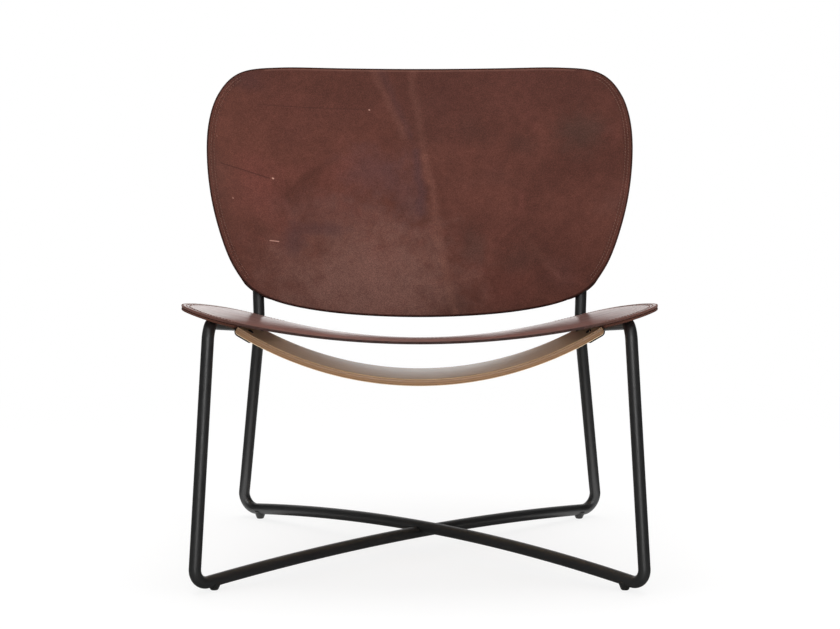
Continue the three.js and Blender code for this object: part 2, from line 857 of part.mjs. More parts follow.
// The bow's lower end corner at an offset from it: distances from the rail and radii, from under
// the bow to its end face
function bowEndCorner(offset) {
  const arc = [];
  for (let i = 0; i <= bowEndSteps; i++) {
    const turn = Math.PI / 2 * i / bowEndSteps;
    const reach = bowEndRound + offset;
    arc.push([
      bowEndFromRail + bowEndRound - reach * Math.sin(turn),
      bowRadius + bowThickness - bowEndRound + reach * Math.cos(turn),
    ]);
  }
  return arc;
}

// The section carried along the arc, and thinned from below round both end corners
function bowBoard() {
  const section = bowSection();
  const ring = (share, fromRail, lowest) => section.map(([behind, radius]) => {
    const depth = (radius - bowRadius) * (lowest - bowRadius) / bowThickness;
    const angle = share * (railAngle(behind) - fromRail / bowRadius);
    return bowPoint(angle, behind, bowRadius + depth);
  });
  const corner = bowEndCorner(0);
  const endRings = (side) => corner.slice(1).map(([fromRail, lowest]) => ring(side, fromRail, lowest));
  const [[arcStart, fullRadius]] = corner;
  const rings = endRings(-1).reverse();
  for (let i = -bowHalfSteps; i <= bowHalfSteps; i++) {
    rings.push(ring(i / bowHalfSteps, arcStart, fullRadius));
  }
  rings.push(...endRings(1));
  const middleBehind = bowFrontBehind + bowWidth / 2;
  const middleRadius = bowRadius + (bowThickness - bowEndRound) / 2;
  const endPoint = (side) => bowPointFromRail(side, bowEndFromRail, middleBehind, middleRadius);
  return solidOf(loftRings(rings, endPoint(-1), endPoint(1)));
}

// A plate's face at an offset from the bow: from its inner end, round the corner and up the end
function plateProfile(offset) {
  const corner = bowEndCorner(offset);
  return [
    [plateReach, bowRadius + bowThickness + offset],
    ...corner,
    [bowEndFromRail - offset, bowRadius + plateLegTop],
  ];
}

function bowPlate(side) {
  const upper = [];
  const lower = [];
  for (let row = 0; row <= plateSteps; row++) {
    const inset = plateInset + (bowWidth - 2 * plateInset) * row / plateSteps;
    const behind = bowFrontBehind + inset;
    const place = ([fromRail, radius]) => bowPointFromRail(side, fromRail, behind, radius);
    const inner = plateProfile(seatingGap).map(place);
    const outer = plateProfile(seatingGap + plateThickness).map(place);
    if (side < 0) {
      inner.reverse();
      outer.reverse();
    }
    upper.push(inner);
    lower.push(outer);
  }
  return solidOf(slabBetween(upper, lower)).subtract(upperTubeRoom).subtract(lowerTubeRoom);
}

// Top end and outward direction of each bow screw's axis, on the bow's upper face
function bowScrewPlaces() {
  const places = [];
  const insets = { front: bowScrewInset, rear: bowWidth - bowScrewInset };
  for (const side of [-1, 1]) {
    for (const [end, inset] of Object.entries(insets)) {
      const behind = bowFrontBehind + inset;
      const angle = side * (railAngle(behind) - bowScrewFromRail / bowRadius);
      const top = bowPoint(angle, behind, bowRadius);
      const direction = bowPoint(angle, behind, 0).sub(top).normalize();
      places.push({ name: `bow_screw_${sideNames[side]}_${end}`, top, direction });
    }
  }
  return places;
}

const screwGrip = bowThickness + seatingGap + plateThickness;

function cutScrewHoles(solid) {
  let cut = solid;
  for (const { top, direction } of bowScrewPlaces()) {
    const depth = screwGrip + cutOverrun;
    const from = top.clone().addScaledVector(direction, -depth);
    const hole = rod(screwShankRadius + screwPlay, from, direction, depth + cutOverrun, fastenerSides);
    cut = cut.subtract(solidOf(hole));
  }
  return cut;
}

function makeBow() {
  addPiece('seat_bow', geometryOf(cutScrewHoles(bowBoard())), paleWood);
  addPiece('bow_plate_left', geometryOf(cutScrewHoles(bowPlate(-1))), blackSteel);
  addPiece('bow_plate_right', geometryOf(cutScrewHoles(bowPlate(1))), blackSteel);
}

function makeBowScrews() {
  const nutTop = -screwGrip - screwLift;
  for (const { name, top, direction } of bowScrewPlaces()) {
    const screw = solidOf(turned([
      [0, nutTop - nutHeight],
      [nutRadius, nutTop - nutHeight],
      [nutRadius, nutTop],
      [screwShankRadius, nutTop],
      [screwShankRadius, screwLift],
      [screwHeadRadius, screwLift],
      [screwHeadRadius, screwLift + screwHeadHeight / 2],
      [screwHeadRadius / 2, screwLift + screwHeadHeight],
      [0, screwLift + screwHeadHeight],
    ], top, direction, fastenerSides));
    addPiece(name, geometryOf(screw), blackSteel);
  }
}

makeFrame();
makeUprightPlugs();
makeGlides();
makeSeat();
makeKeeperRivets();
makeBack();
makeBow();
makeBowScrews();

// The origin is on the floor, under the middle of the chair
const extent = new THREE.Box3().setFromObject(chair);
chair.position.y = -(extent.min.y + extent.max.y) / 2;

export default chair;
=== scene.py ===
"""Leather sling lounge chair: surfaces, materials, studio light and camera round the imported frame.

Shapes are worked out in millimetres in the chair maker's frame: X to the right, "behind" counted
back from the front corners of the frame, Z up from the floor. to_row moves them to the row frame.
"""

import math

import bpy
import numpy as np
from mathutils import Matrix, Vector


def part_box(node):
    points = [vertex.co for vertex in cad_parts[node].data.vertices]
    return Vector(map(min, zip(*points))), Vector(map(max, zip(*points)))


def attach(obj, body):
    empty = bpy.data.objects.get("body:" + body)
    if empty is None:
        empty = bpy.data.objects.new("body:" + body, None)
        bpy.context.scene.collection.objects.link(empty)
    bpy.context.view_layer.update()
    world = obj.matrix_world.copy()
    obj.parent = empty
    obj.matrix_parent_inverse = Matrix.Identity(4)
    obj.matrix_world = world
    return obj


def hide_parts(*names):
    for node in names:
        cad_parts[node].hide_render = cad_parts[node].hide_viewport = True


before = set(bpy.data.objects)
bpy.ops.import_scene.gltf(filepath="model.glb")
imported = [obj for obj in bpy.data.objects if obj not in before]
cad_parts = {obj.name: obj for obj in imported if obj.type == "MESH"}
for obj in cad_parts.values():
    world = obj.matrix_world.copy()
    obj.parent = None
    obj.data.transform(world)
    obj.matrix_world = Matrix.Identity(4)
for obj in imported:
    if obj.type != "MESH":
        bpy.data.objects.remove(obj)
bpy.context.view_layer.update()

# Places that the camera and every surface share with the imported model

MM = 0.001
SEAT_FRONT_EDGE = -35.0
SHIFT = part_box("seat_sheet")[0][1] / MM - SEAT_FRONT_EDGE

# The two steel tubes
TUBE_RADIUS = 9.0
TUBE_WALL = 2.0
TUBE_SIDES = 48
SOCKET_DEPTH = 24.0
DENT_GAP = 0.15
CROSSING_REACH = 60.0
CROSSING_TOP = 100.0
WELD_RADIUS = 1.3
WELD_POINTS = 72
WELD_SIDES = 12
BEND_RADIUS = 23.0
UPRIGHT_BEND_RADIUS = 60.0
RAIL_FRONT = np.array([301.0, 0.0, 388.5])
RAIL_REAR = np.array([255.5, 382.0, 338.0])
FRONT_FOOT = np.array([324.0, -23.0, 11.0])
REAR_FOOT = np.array([297.0, 544.0, 11.0])
UPPER_ARCH = 26.5
LOWER_ARCH = 17.5
LEAN = math.radians(25.0)
SPLAY = math.radians(3.0)
UPRIGHT_LENGTH = 330.0

# The leather seat and back: plies, outlines, sag, seams and stitches
PLY = 3.8
PLY_GAP = 0.5
LIFT = 13.8
WING_SPAN = 85.0
SEAT_HALF_WIDTH = 349.0
SEAT_WIDEST = 135.0
SEAT_FRONT_REACH = 170.0
SEAT_REAR_REACH = 272.0
SEAT_SAG = 36.5
SEAT_DROOP = 4.8
SEAT_REAR_LIFT = 19.3
LIP_DROP = 4.0
LIP_START = 60.0
LIP_SPAN = 95.0
DOUBLER_SEAM = 43.0
SLOT_FRONT = 4.0
SLOT_REAR = 292.0
SLOT_HALF_WIDTH = 9.8
BACK_HALF_WIDTH = 345.0
BACK_WIDEST = 291.0
BACK_UPPER_REACH = 166.0
BACK_LOWER_REACH = 269.0
BACK_SAG = 30.0
BACK_DROOP = 5.8
POCKET_SEAM = 22.0
POCKET_FREE = 1.0
POCKET_INNER_REACH = 19.0
POCKET_OUTER_REACH = 26.0
POCKET_OVER_TOP = 12.0
POCKET_CLOSING = 45.0
HEM_CUT = 0.3
HEM_FADE = (-230.0, -120.0)
SEAM_INSETS = (7.2, 12.0)
GROOVE_DEPTH = 0.4
STITCH_PITCH = 5.0
STITCH_SLANT = math.radians(9.0)
STITCH_SIDES = 8

# The wooden bow, an arc about a level axis
BOW_RADIUS = 508.0
BOW_THICKNESS = 10.5
BOW_FRONT = 150.0
BOW_WIDTH = 126.0
BOW_AXIS = 794.0
BOW_CORNER = 2.5
BOW_REST = 6.0
BOW_STATIONS = 141
BOW_END_ROUND = 5.0
BOW_END_TURN = 78.0
BOW_EDGE_MARGIN = 0.8
BOW_END_FROM_RAIL = TUBE_RADIUS + 2.6
WOOD_PLY = 1.5

# The leather straps that keep the seat on the rails
STRAP_FRONT = 298.0
STRAP_LENGTH = 40.0
STRAP_THICK = 2.5
STRAP_REACH = 28.0
STRAP_PLY_GAP = 0.5
STRAP_RAIL_GAP = 0.3

# The camera, as fitted to the photograph
CAMERA_PLACE = (0.5, -3259.6, 772.05)
CAMERA_TILT = math.radians(6.497)
CAMERA_LENS = 98.57


def to_row(points):
    """Chair maker's millimetres to the row frame's metres."""
    moved = np.array(points, dtype=float)
    moved[..., 1] += SHIFT
    return moved * MM


# Camera

camera_data = bpy.data.cameras.new("photo_camera")
camera_data.sensor_width = 36.0
camera_data.lens = CAMERA_LENS
camera_data.clip_start = 0.1
camera_data.clip_end = 60.0
camera = bpy.data.objects.new("photo_camera", camera_data)
camera.location = to_row(CAMERA_PLACE)
camera.rotation_euler = (math.pi / 2.0 - CAMERA_TILT, 0.0, 0.0)
bpy.context.scene.collection.objects.link(camera)
bpy.context.scene.camera = camera
bpy.context.scene.view_settings.view_transform = "Standard"


# Mesh making


def grid_faces(rows, columns, close_rows=False, close_columns=False):
    """Quads of a grid of points numbered row by row; either direction can be closed on itself."""
    r = np.arange(rows if close_rows else rows - 1)
    c = np.arange(columns if close_columns else columns - 1)
    r, c = np.meshgrid(r, c, indexing="ij")
    r1, c1 = (r + 1) % rows, (c + 1) % columns
    quads = np.stack([r * columns + c, r * columns + c1, r1 * columns + c1, r1 * columns + c], -1)
    return quads.reshape(-1, 4)


def capped_faces(rows, columns):
    """Quads round a skin of closed rings, and triangles to the two end points that follow them."""

    def fan(centre, ring):
        """Triangles from a ring of points to a middle one."""
        return np.stack([np.full(columns, centre), ring, np.roll(ring, -1)], -1)

    total = rows * columns
    first, last = np.arange(columns), np.arange(total - columns, total)
    skin = grid_faces(rows, columns, close_columns=True)
    return [skin, fan(total, first)[:, [0, 2, 1]], fan(total + 1, last)]


def signed_volume(points, faces):
    """Volume enclosed by faces, as the sum of tetrahedra to the origin; negative if inside out."""
    total = 0.0
    for group in faces:
        a = points[group[:, 0]]
        for k in range(1, group.shape[1] - 1):
            b, c = points[group[:, k]], points[group[:, k + 1]]
            total += np.einsum("ij,ij->i", a, np.cross(b, c)).sum() / 6.0
    return total


def make_piece(name, points, faces, material, slot, replaced=None, **layers):
    """A mesh object from points in metres and arrays of faces with one count of corners each.

    Faces that all look inwards are turned round. Every further argument is a value for each
    point, kept as an attribute that the materials read.
    """
    if signed_volume(points, faces) < 0:
        faces = [f[:, ::-1] for f in faces]
    mesh = bpy.data.meshes.new(name)
    counts = np.concatenate([np.full(len(f), f.shape[1]) for f in faces])
    corners = np.concatenate([f.ravel() for f in faces])
    mesh.vertices.add(len(points))
    mesh.vertices.foreach_set("co", points.astype(np.float32).ravel())
    mesh.loops.add(len(corners))
    mesh.loops.foreach_set("vertex_index", corners.astype(np.int32))
    mesh.polygons.add(len(counts))
    starts = np.concatenate([[0], np.cumsum(counts)[:-1]])
    mesh.polygons.foreach_set("loop_start", starts.astype(np.int32))
    mesh.polygons.foreach_set("loop_total", counts.astype(np.int32))
    mesh.update(calc_edges=True)
    mesh.validate()
    mesh.polygons.foreach_set("use_smooth", np.full(len(mesh.polygons), True))
    for label, values in layers.items():
        attribute = mesh.attributes.new(label, "FLOAT", "POINT")
        attribute.data.foreach_set("value", values.astype(np.float32).ravel())
    mesh.materials.append(material)
    piece = bpy.data.objects.new(name, mesh)
    bpy.context.scene.collection.objects.link(piece)
    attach(piece, "root")
    if replaced:
        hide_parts(replaced)


def smoothstep(value, low, high):
    """0 below low, 1 above high, an S-shaped blend between."""
    t = np.clip((value - low) / (high - low), 0.0, 1.0)
    return t * t * (3.0 - 2.0 * t)


# Material making


def fill(tree, made, inputs):
    """Sets a node's inputs, given by name or number, to plain values or other nodes' outputs."""
    for key, value in inputs.items():
        if isinstance(value, bpy.types.NodeSocket):
            tree.links.new(value, made.inputs[key])
        else:
            made.inputs[key].default_value = value


def node(tree, kind, inputs=None, **settings):
    """A shader node with its settings and inputs."""
    made = tree.nodes.new(kind)
    for key, value in settings.items():
        setattr(made, key, value)
    fill(tree, made, inputs or {})
    return made


def srgb(red, green, blue):
    """A colour written as 0 to 255 display values, as the linear colour that shaders use."""
    c = np.array([red, green, blue]) / 255.0
    linear = np.where(c <= 0.04045, c / 12.92, ((c + 0.055) / 1.055) ** 2.4)
    return (*linear.tolist(), 1.0)


def blend(tree, factor, a, b, mode="MIX"):
    """Colour a going to colour b by a factor."""
    inputs = {0: factor, 6: a, 7: b}
    return node(tree, "ShaderNodeMix", inputs, data_type="RGBA", blend_type=mode).outputs[2]


def mix(tree, factor, a, b):
    """Value a going to value b by a factor."""
    return node(tree, "ShaderNodeMix", {0: factor, 2: a, 3: b}).outputs[0]


def maths(tree, operation, a, b=0.0, clamp=False):
    """One step of arithmetic on values."""
    inputs = {0: a, 1: b}
    made = node(tree, "ShaderNodeMath", inputs, operation=operation, use_clamp=clamp)
    return made.outputs[0]


def vector_maths(tree, operation, a, b=(0.0, 0.0, 0.0), **further):
    """One step of arithmetic on vectors; lengths and dot products come out as values."""
    made = node(tree, "ShaderNodeVectorMath", {0: a, 1: b, **further}, operation=operation)
    return made.outputs["Value" if operation in ("LENGTH", "DOT_PRODUCT") else "Vector"]


def remap(tree, value, low, high, to_low=0.0, to_high=1.0):
    """value from the range low to high, onto to_low to to_high, eased and held at both ends."""
    inputs = {"Value": value, "From Min": low, "From Max": high}
    inputs.update({"To Min": to_low, "To Max": to_high})
    return node(tree, "ShaderNodeMapRange", inputs, interpolation_type="SMOOTHSTEP").outputs[0]


def noise(tree, vector, scale, detail=3.0, roughness=0.5, distortion=0.0, output="Fac"):
    """Cloudy noise round a half."""
    inputs = {"Vector": vector, "Scale": scale, "Detail": detail}
    inputs.update({"Roughness": roughness, "Distortion": distortion})
    return node(tree, "ShaderNodeTexNoise", inputs).outputs[output]


def layer(tree, name):
    """A value for each point that the mesh carries, 0 where it has none of that name."""
    return node(tree, "ShaderNodeAttribute", attribute_name=name).outputs["Fac"]


def object_place(tree):
    """The place on the object, in metres."""
    return node(tree, "ShaderNodeTexCoord").outputs["Object"]


def mapped_place(tree, location=(0, 0, 0), turn=(0, 0, 0), scale=(1, 1, 1)):
    """The place on the object, moved, turned and stretched."""
    inputs = {"Vector": object_place(tree), "Location": location, "Rotation": turn, "Scale": scale}
    return node(tree, "ShaderNodeMapping", inputs).outputs[0]


def bump(tree, height, strength, distance):
    """A normal that follows a height."""
    inputs = {"Height": height, "Strength": strength, "Distance": distance}
    return node(tree, "ShaderNodeBump", inputs).outputs[0]


def start_material(name):
    """A material with its node tree and its surface shader."""
    material = bpy.data.materials.new(name)
    material.use_nodes = True
    return material, material.node_tree, material.node_tree.nodes["Principled BSDF"]


def connect(tree, surface, **inputs):
    """Fills the surface shader's inputs, underscores standing for spaces."""
    fill(tree, surface, {key.replace("_", " "): value for key, value in inputs.items()})


def new_group(name, vectors, values, outputs):
    """An empty node group with vector and value inputs and value outputs, and its two end nodes."""
    tree = bpy.data.node_groups.new(name, "ShaderNodeTree")
    for label in vectors:
        tree.interface.new_socket(name=label, in_out="INPUT", socket_type="NodeSocketVector")
    for label in values:
        tree.interface.new_socket(name=label, in_out="INPUT", socket_type="NodeSocketFloat")
    for label in outputs:
        tree.interface.new_socket(name=label, in_out="OUTPUT", socket_type="NodeSocketFloat")
    given, result = tree.nodes.new("NodeGroupInput"), tree.nodes.new("NodeGroupOutput")
    return tree, given.outputs, result.inputs


def use_group(tree, group, output, **inputs):
    """An output of a placed group, its inputs given by name."""
    return node(tree, "ShaderNodeGroup", inputs, node_tree=group).outputs[output]


def build_scar_group():
    """Mask of a straight scratch: 1 on the line from Start to End, 0 at Width from it."""
    tree, given, result = new_group(
        "straight_scar", ("Place", "Start", "End"), ("Width",), ("Mask",)
    )
    along = vector_maths(tree, "SUBTRACT", given["End"], given["Start"])
    offset = vector_maths(tree, "SUBTRACT", given["Place"], given["Start"])
    covered = vector_maths(tree, "DOT_PRODUCT", offset, along)
    length = vector_maths(tree, "DOT_PRODUCT", along, along)
    share = maths(tree, "DIVIDE", covered, length, clamp=True)
    reached = vector_maths(tree, "SCALE", along, Scale=share)
    distance = vector_maths(tree, "LENGTH", vector_maths(tree, "SUBTRACT", offset, reached))
    tree.links.new(remap(tree, distance, 0.0, given["Width"], 1.0, 0.0), result["Mask"])
    return tree


def build_grain_group():
    """Leather grain: pores and fine creases as a height, and specks as a faint colour mask."""
    tree, given, result = new_group("leather_grain", ("Place",), ("Size",), ("Height", "Speckle"))
    place, size = given["Place"], given["Size"]
    inputs = {"Vector": place, "Scale": size, "Randomness": 1.0}
    cells = node(tree, "ShaderNodeTexVoronoi", inputs, feature="SMOOTH_F1").outputs["Distance"]
    fine = noise(tree, place, maths(tree, "MULTIPLY", size, 0.55), 6.0, 0.65)
    height = maths(tree, "ADD", maths(tree, "MULTIPLY", cells, 0.6), fine)
    tree.links.new(height, result["Height"])
    speck = noise(tree, place, maths(tree, "MULTIPLY", size, 0.75), 3.0, 0.75)
    tree.links.new(remap(tree, speck, 0.36, 0.66), result["Speckle"])
    return tree


def build_patch_group():
    """Mask of a soft ragged patch: Strength at its Centre, 0 at about Reach from it."""
    tree, given, result = new_group(
        "soft_patch", ("Place", "Centre", "Reach"), ("Strength",), ("Mask",)
    )
    offset = vector_maths(tree, "SUBTRACT", given["Place"], given["Centre"])
    distance = vector_maths(tree, "LENGTH", vector_maths(tree, "DIVIDE", offset, given["Reach"]))
    ragged = remap(tree, noise(tree, given["Place"], 26.0, 5.0, 0.6), 0.0, 1.0, -0.5, 0.5)
    far = maths(tree, "ADD", distance, ragged)
    mask = maths(tree, "MULTIPLY", remap(tree, far, 0.1, 1.1, 1.0, 0.0), given["Strength"])
    tree.links.new(mask, result["Mask"])
    return tree


scar_group = build_scar_group()
patch_group = build_patch_group()
grain_group = build_grain_group()


def in_plane(across, up):
    """A place in a leather's plane, from millimetres to the metres of its mapping."""
    return (across * MM, up * MM, 0.0)


def scar_mask(tree, place, line, width, strength):
    """How much of a scratch or vein shows: its mask times its strength."""
    x0, y0, x1, y1 = line
    ends = {"Start": in_plane(x0, y0), "End": in_plane(x1, y1), "Width": width * MM}
    mask = use_group(tree, scar_group, "Mask", Place=place, **ends)
    return maths(tree, "MULTIPLY", mask, strength)


# How far the veins stray from their straight lines, in metres, and half of it taken off again
VEIN_WANDER = (0.045, 0.045, 0.0)
VEIN_CENTRING = (-0.0225, -0.0225, 0.0)


def clouded(tree, place, flat, clouds):
    """Soft clouds of colour by noise, then the patches and veins at their places; one patch is a
    painted reflection.
    """
    tones = {key: srgb(*clouds[key]) for key in ("dark", "warm", "red", "smoky")}
    warm = remap(tree, noise(tree, place, 7.0, 5.0, 0.65, 0.4), 0.34, 0.66)
    red = remap(tree, noise(tree, place, 8.5, 4.0, 0.6, 0.8), 0.52, 0.72, 0.0, 0.75)
    smoky = remap(tree, noise(tree, flat, 3.6, 4.0, 0.55, 0.6), 0.5, 0.75, 0.0, 0.8)
    base = blend(tree, warm, tones["dark"], tones["warm"])
    base = blend(tree, red, base, tones["red"])
    base = blend(tree, smoky, base, tones["smoky"])
    for (across, up), (wide, high), strength, tone in clouds.get("patches", ()):
        at = {"Centre": in_plane(across, up), "Reach": (wide * MM, high * MM, 1.0)}
        mask = use_group(tree, patch_group, "Mask", Place=flat, Strength=strength, **at)
        base = blend(tree, mask, base, srgb(*tone))
    wander = node(
        tree,
        "ShaderNodeVectorMath",
        {0: noise(tree, flat, 9.0, 4.0, output="Color"), 1: VEIN_WANDER, 2: VEIN_CENTRING},
        operation="MULTIPLY_ADD",
    ).outputs[0]
    wandering = vector_maths(tree, "ADD", flat, wander)
    for line, width, strength, tone in clouds.get("veins", ()):
        mask = scar_mask(tree, wandering, line, width, strength)
        base = blend(tree, mask, base, srgb(*tone))
    return base


PORE_SCALE = 900.0
GRAIN_DEPTH = 0.00025
EDGE_DARKENING = 0.95
# How dark the creases and the painted shade on the wings' lower rim go
CREASE_AND_SHADE_DARKENING = 0.55
RUB_LIGHTENING = 0.35


def leather_material(name, clouds, plane, gloss, shine=0.1, waxed=False, lit_wing_edge=None):
    """Saddle leather.

    Colour is a brown with large soft clouds of redder, darker and bluish tone, finer mottling
    and specks. The layers of the mesh darken the edge and the stitched groove, paint shade along
    the wings' lower rim, and turn the unfinished side pale. A wing edge tone, when given, is
    painted light: the cut edge lighter towards the wings, where it faces the lamps. plane is how
    the leather's own plane lies in the object.
    """
    material, tree, surface = start_material(name)
    place = object_place(tree)
    flat = vector_maths(tree, "MULTIPLY", mapped_place(tree, **plane), (1.0, 1.0, 0.0))
    colour = clouded(tree, place, flat, clouds)
    mottle = remap(tree, noise(tree, place, 60.0, 6.0, 0.75), 0.3, 0.7, 0.9, 1.1)
    colour = blend(tree, 1.0, colour, mottle, "MULTIPLY")
    inputs = {"Place": place, "Size": PORE_SCALE}
    grain = node(tree, "ShaderNodeGroup", inputs, node_tree=grain_group)
    specks = remap(tree, grain.outputs["Speckle"], 0.0, 1.0, 0.74, 1.26)
    colour = blend(tree, 1.0, colour, specks, "MULTIPLY")
    height = grain.outputs["Height"]
    cut = 0.0
    for line, width, strength, tone in clouds.get("marks", ()):
        amount = scar_mask(tree, flat, line, width, strength)
        colour = blend(tree, amount, colour, srgb(*tone))
        cut = maths(tree, "MAXIMUM", cut, amount)
    height = maths(tree, "SUBTRACT", height, maths(tree, "MULTIPLY", cut, 1.5))

    flesh, edge = layer(tree, "flesh"), layer(tree, "edge")
    fibres = remap(tree, noise(tree, place, 420.0, 5.0, 0.75, 1.5), 0.3, 0.7)
    nap = blend(tree, fibres, srgb(128, 97, 77), srgb(152, 120, 97))
    colour = blend(tree, flesh, colour, nap)
    # This layer holds the creases beside the stitches and the painted shade along the wings' lower
    # rim
    crease = maths(tree, "MULTIPLY", layer(tree, "crease"), CREASE_AND_SHADE_DARKENING)
    colour = blend(tree, crease, colour, srgb(52, 30, 26))
    streaks = remap(tree, noise(tree, place, 160.0, 4.0), 0.3, 0.7)
    edge_tone = blend(tree, streaks, srgb(32, 17, 14), srgb(52, 29, 23))
    # Painted light: the cut edge turns lighter towards the wings, where it faces the lamps
    if lit_wing_edge:
        across = node(tree, "ShaderNodeSeparateXYZ", {0: place}).outputs["X"]
        wing = remap(tree, maths(tree, "ABSOLUTE", across), 0.2, 0.32)
        edge_tone = blend(tree, wing, edge_tone, srgb(*lit_wing_edge))
    cut_share = maths(tree, "MULTIPLY", edge, EDGE_DARKENING)
    colour = blend(tree, cut_share, colour, edge_tone)
    rub = maths(tree, "MULTIPLY", layer(tree, "rub"), RUB_LIGHTENING)
    colour = blend(tree, rub, colour, srgb(132, 92, 80))

    worn = remap(tree, noise(tree, place, 22.0, 5.0, 0.6), 0.3, 0.75, gloss - 0.05, gloss + 0.09)
    bare = maths(tree, "MAXIMUM", edge, flesh)
    rough = maths(tree, "ADD", worn, maths(tree, "MULTIPLY", bare, 0.45), clamp=True)
    normal = bump(tree, height, 0.35, GRAIN_DEPTH)
    connect(tree, surface, Base_Color=colour, Roughness=rough, Normal=normal)
    connect(tree, surface, Specular_IOR_Level=shine)
    if waxed:
        wax = remap(tree, bare, 0.0, 1.0, 1.0, 0.0)
        connect(tree, surface, Coat_Weight=wax, Coat_Roughness=0.24, Coat_IOR=1.6)
        connect(tree, surface, Coat_Tint=(1.0, 0.93, 0.91, 1.0), Sheen_Weight=0.07)
        connect(tree, surface, Sheen_Roughness=0.35, Sheen_Tint=(1.0, 0.8, 0.76, 1.0))
    return material


def steel_material(name, low_rough, high_rough, shine):
    """Black powder coat: an even black with a faint orange-peel texture and cloudy gloss."""
    material, tree, surface = start_material(name)
    place = object_place(tree)
    cloud = noise(tree, place, 24.0, 4.0, 0.6)
    colour = blend(tree, remap(tree, cloud, 0.3, 0.7), srgb(12, 12, 13), srgb(18, 18, 18))
    rough = remap(tree, cloud, 0.25, 0.75, low_rough, high_rough)
    normal = bump(tree, noise(tree, place, 900.0, 2.0, 0.4), 0.25, 0.0001)
    connect(tree, surface, Base_Color=colour, Roughness=rough, Normal=normal)
    connect(tree, surface, Specular_IOR_Level=shine)
    return material


def plastic_material():
    """Black moulded plastic with a fine matt texture."""
    material, tree, surface = start_material("black_moulded_plastic")
    fine = noise(tree, object_place(tree), 1500.0, 3.0, 0.6)
    colour = blend(tree, remap(tree, fine, 0.3, 0.7), srgb(22, 22, 22), srgb(30, 30, 29))
    normal = bump(tree, fine, 0.3, 0.00008)
    connect(tree, surface, Base_Color=colour, Roughness=0.4, Normal=normal)
    return material


def thread_material():
    """Waxed brown thread, with its twist as dark bands across."""
    material, tree, surface = start_material("waxed_thread")
    twist = remap(tree, noise(tree, object_place(tree), 1400.0, 2.0), 0.3, 0.7)
    colour = blend(tree, twist, srgb(86, 54, 44), srgb(116, 80, 67))
    connect(tree, surface, Base_Color=colour, Roughness=0.6)
    return material


def wood_material():
    """Moulded plywood: straight grain along the bow, pores, and the plies' layers at its edges."""
    material, tree, surface = start_material("bow_plywood")
    along = mapped_place(tree, scale=(0.06, 1.0, 0.25))
    streaks = noise(tree, along, 90.0, 6.0, 0.62, 0.5)
    wide = noise(tree, along, 14.0, 3.0, 0.5, 1.0)
    face = blend(tree, remap(tree, wide, 0.3, 0.7), srgb(220, 192, 154), srgb(233, 207, 171))
    face = blend(tree, remap(tree, streaks, 0.45, 0.75, 0.0, 0.45), face, srgb(206, 170, 130))
    pores = noise(tree, mapped_place(tree, scale=(0.12, 1.0, 1.0)), 620.0, 4.0, 0.7)
    pore = maths(tree, "MULTIPLY", remap(tree, pores, 0.62, 0.76), 0.35)
    face = blend(tree, pore, face, srgb(150, 116, 84))

    from_axis = mapped_place(tree, location=(0.0, 0.0, -BOW_AXIS * MM), scale=(1.0, 0.0, 1.0))
    radius = vector_maths(tree, "LENGTH", from_axis)
    inwards = maths(tree, "SUBTRACT", radius, BOW_RADIUS * MM)
    depth = maths(tree, "DIVIDE", inwards, WOOD_PLY * MM)
    off_middle = maths(tree, "SUBTRACT", maths(tree, "FRACT", depth), 0.5)
    glue = remap(tree, maths(tree, "ABSOLUTE", off_middle), 0.1, 0.5, 0.0, 0.3)
    pairs = maths(tree, "FRACT", maths(tree, "MULTIPLY", maths(tree, "FLOOR", depth), 0.5))
    odd = maths(tree, "MULTIPLY", pairs, 2.0, clamp=True)
    plies = blend(tree, odd, srgb(150, 113, 78), srgb(128, 94, 63))
    plies = blend(tree, glue, plies, srgb(104, 78, 56))
    cloudy = remap(tree, noise(tree, object_place(tree), 130.0, 5.0), 0.3, 0.7, 0.0, 0.5)
    plies = blend(tree, cloudy, plies, srgb(142, 106, 70))

    edge = layer(tree, "edge")
    colour = blend(tree, edge, face, plies)
    rough = remap(tree, wide, 0.3, 0.7, 0.44, 0.54)
    normal = bump(tree, streaks, 0.15, 0.0002)
    lacquer = remap(tree, edge, 0.0, 1.0, 1.0, 0.15)
    connect(tree, surface, Base_Color=colour, Roughness=rough, Normal=normal)
    connect(tree, surface, Coat_Weight=lacquer, Coat_Roughness=0.17, Specular_IOR_Level=0.3)
    return material


def back_plane():
    """Turn about X so that the lean lies along the second axis, measured from the rails' ends."""
    origin = to_row(RAIL_REAR * [0.0, 1.0, 1.0])
    turn = LEAN - math.pi / 2.0
    along = origin[1] * math.cos(turn) - origin[2] * math.sin(turn)
    return {"location": (0.0, -along, 0.0), "turn": (turn, 0.0, 0.0)}


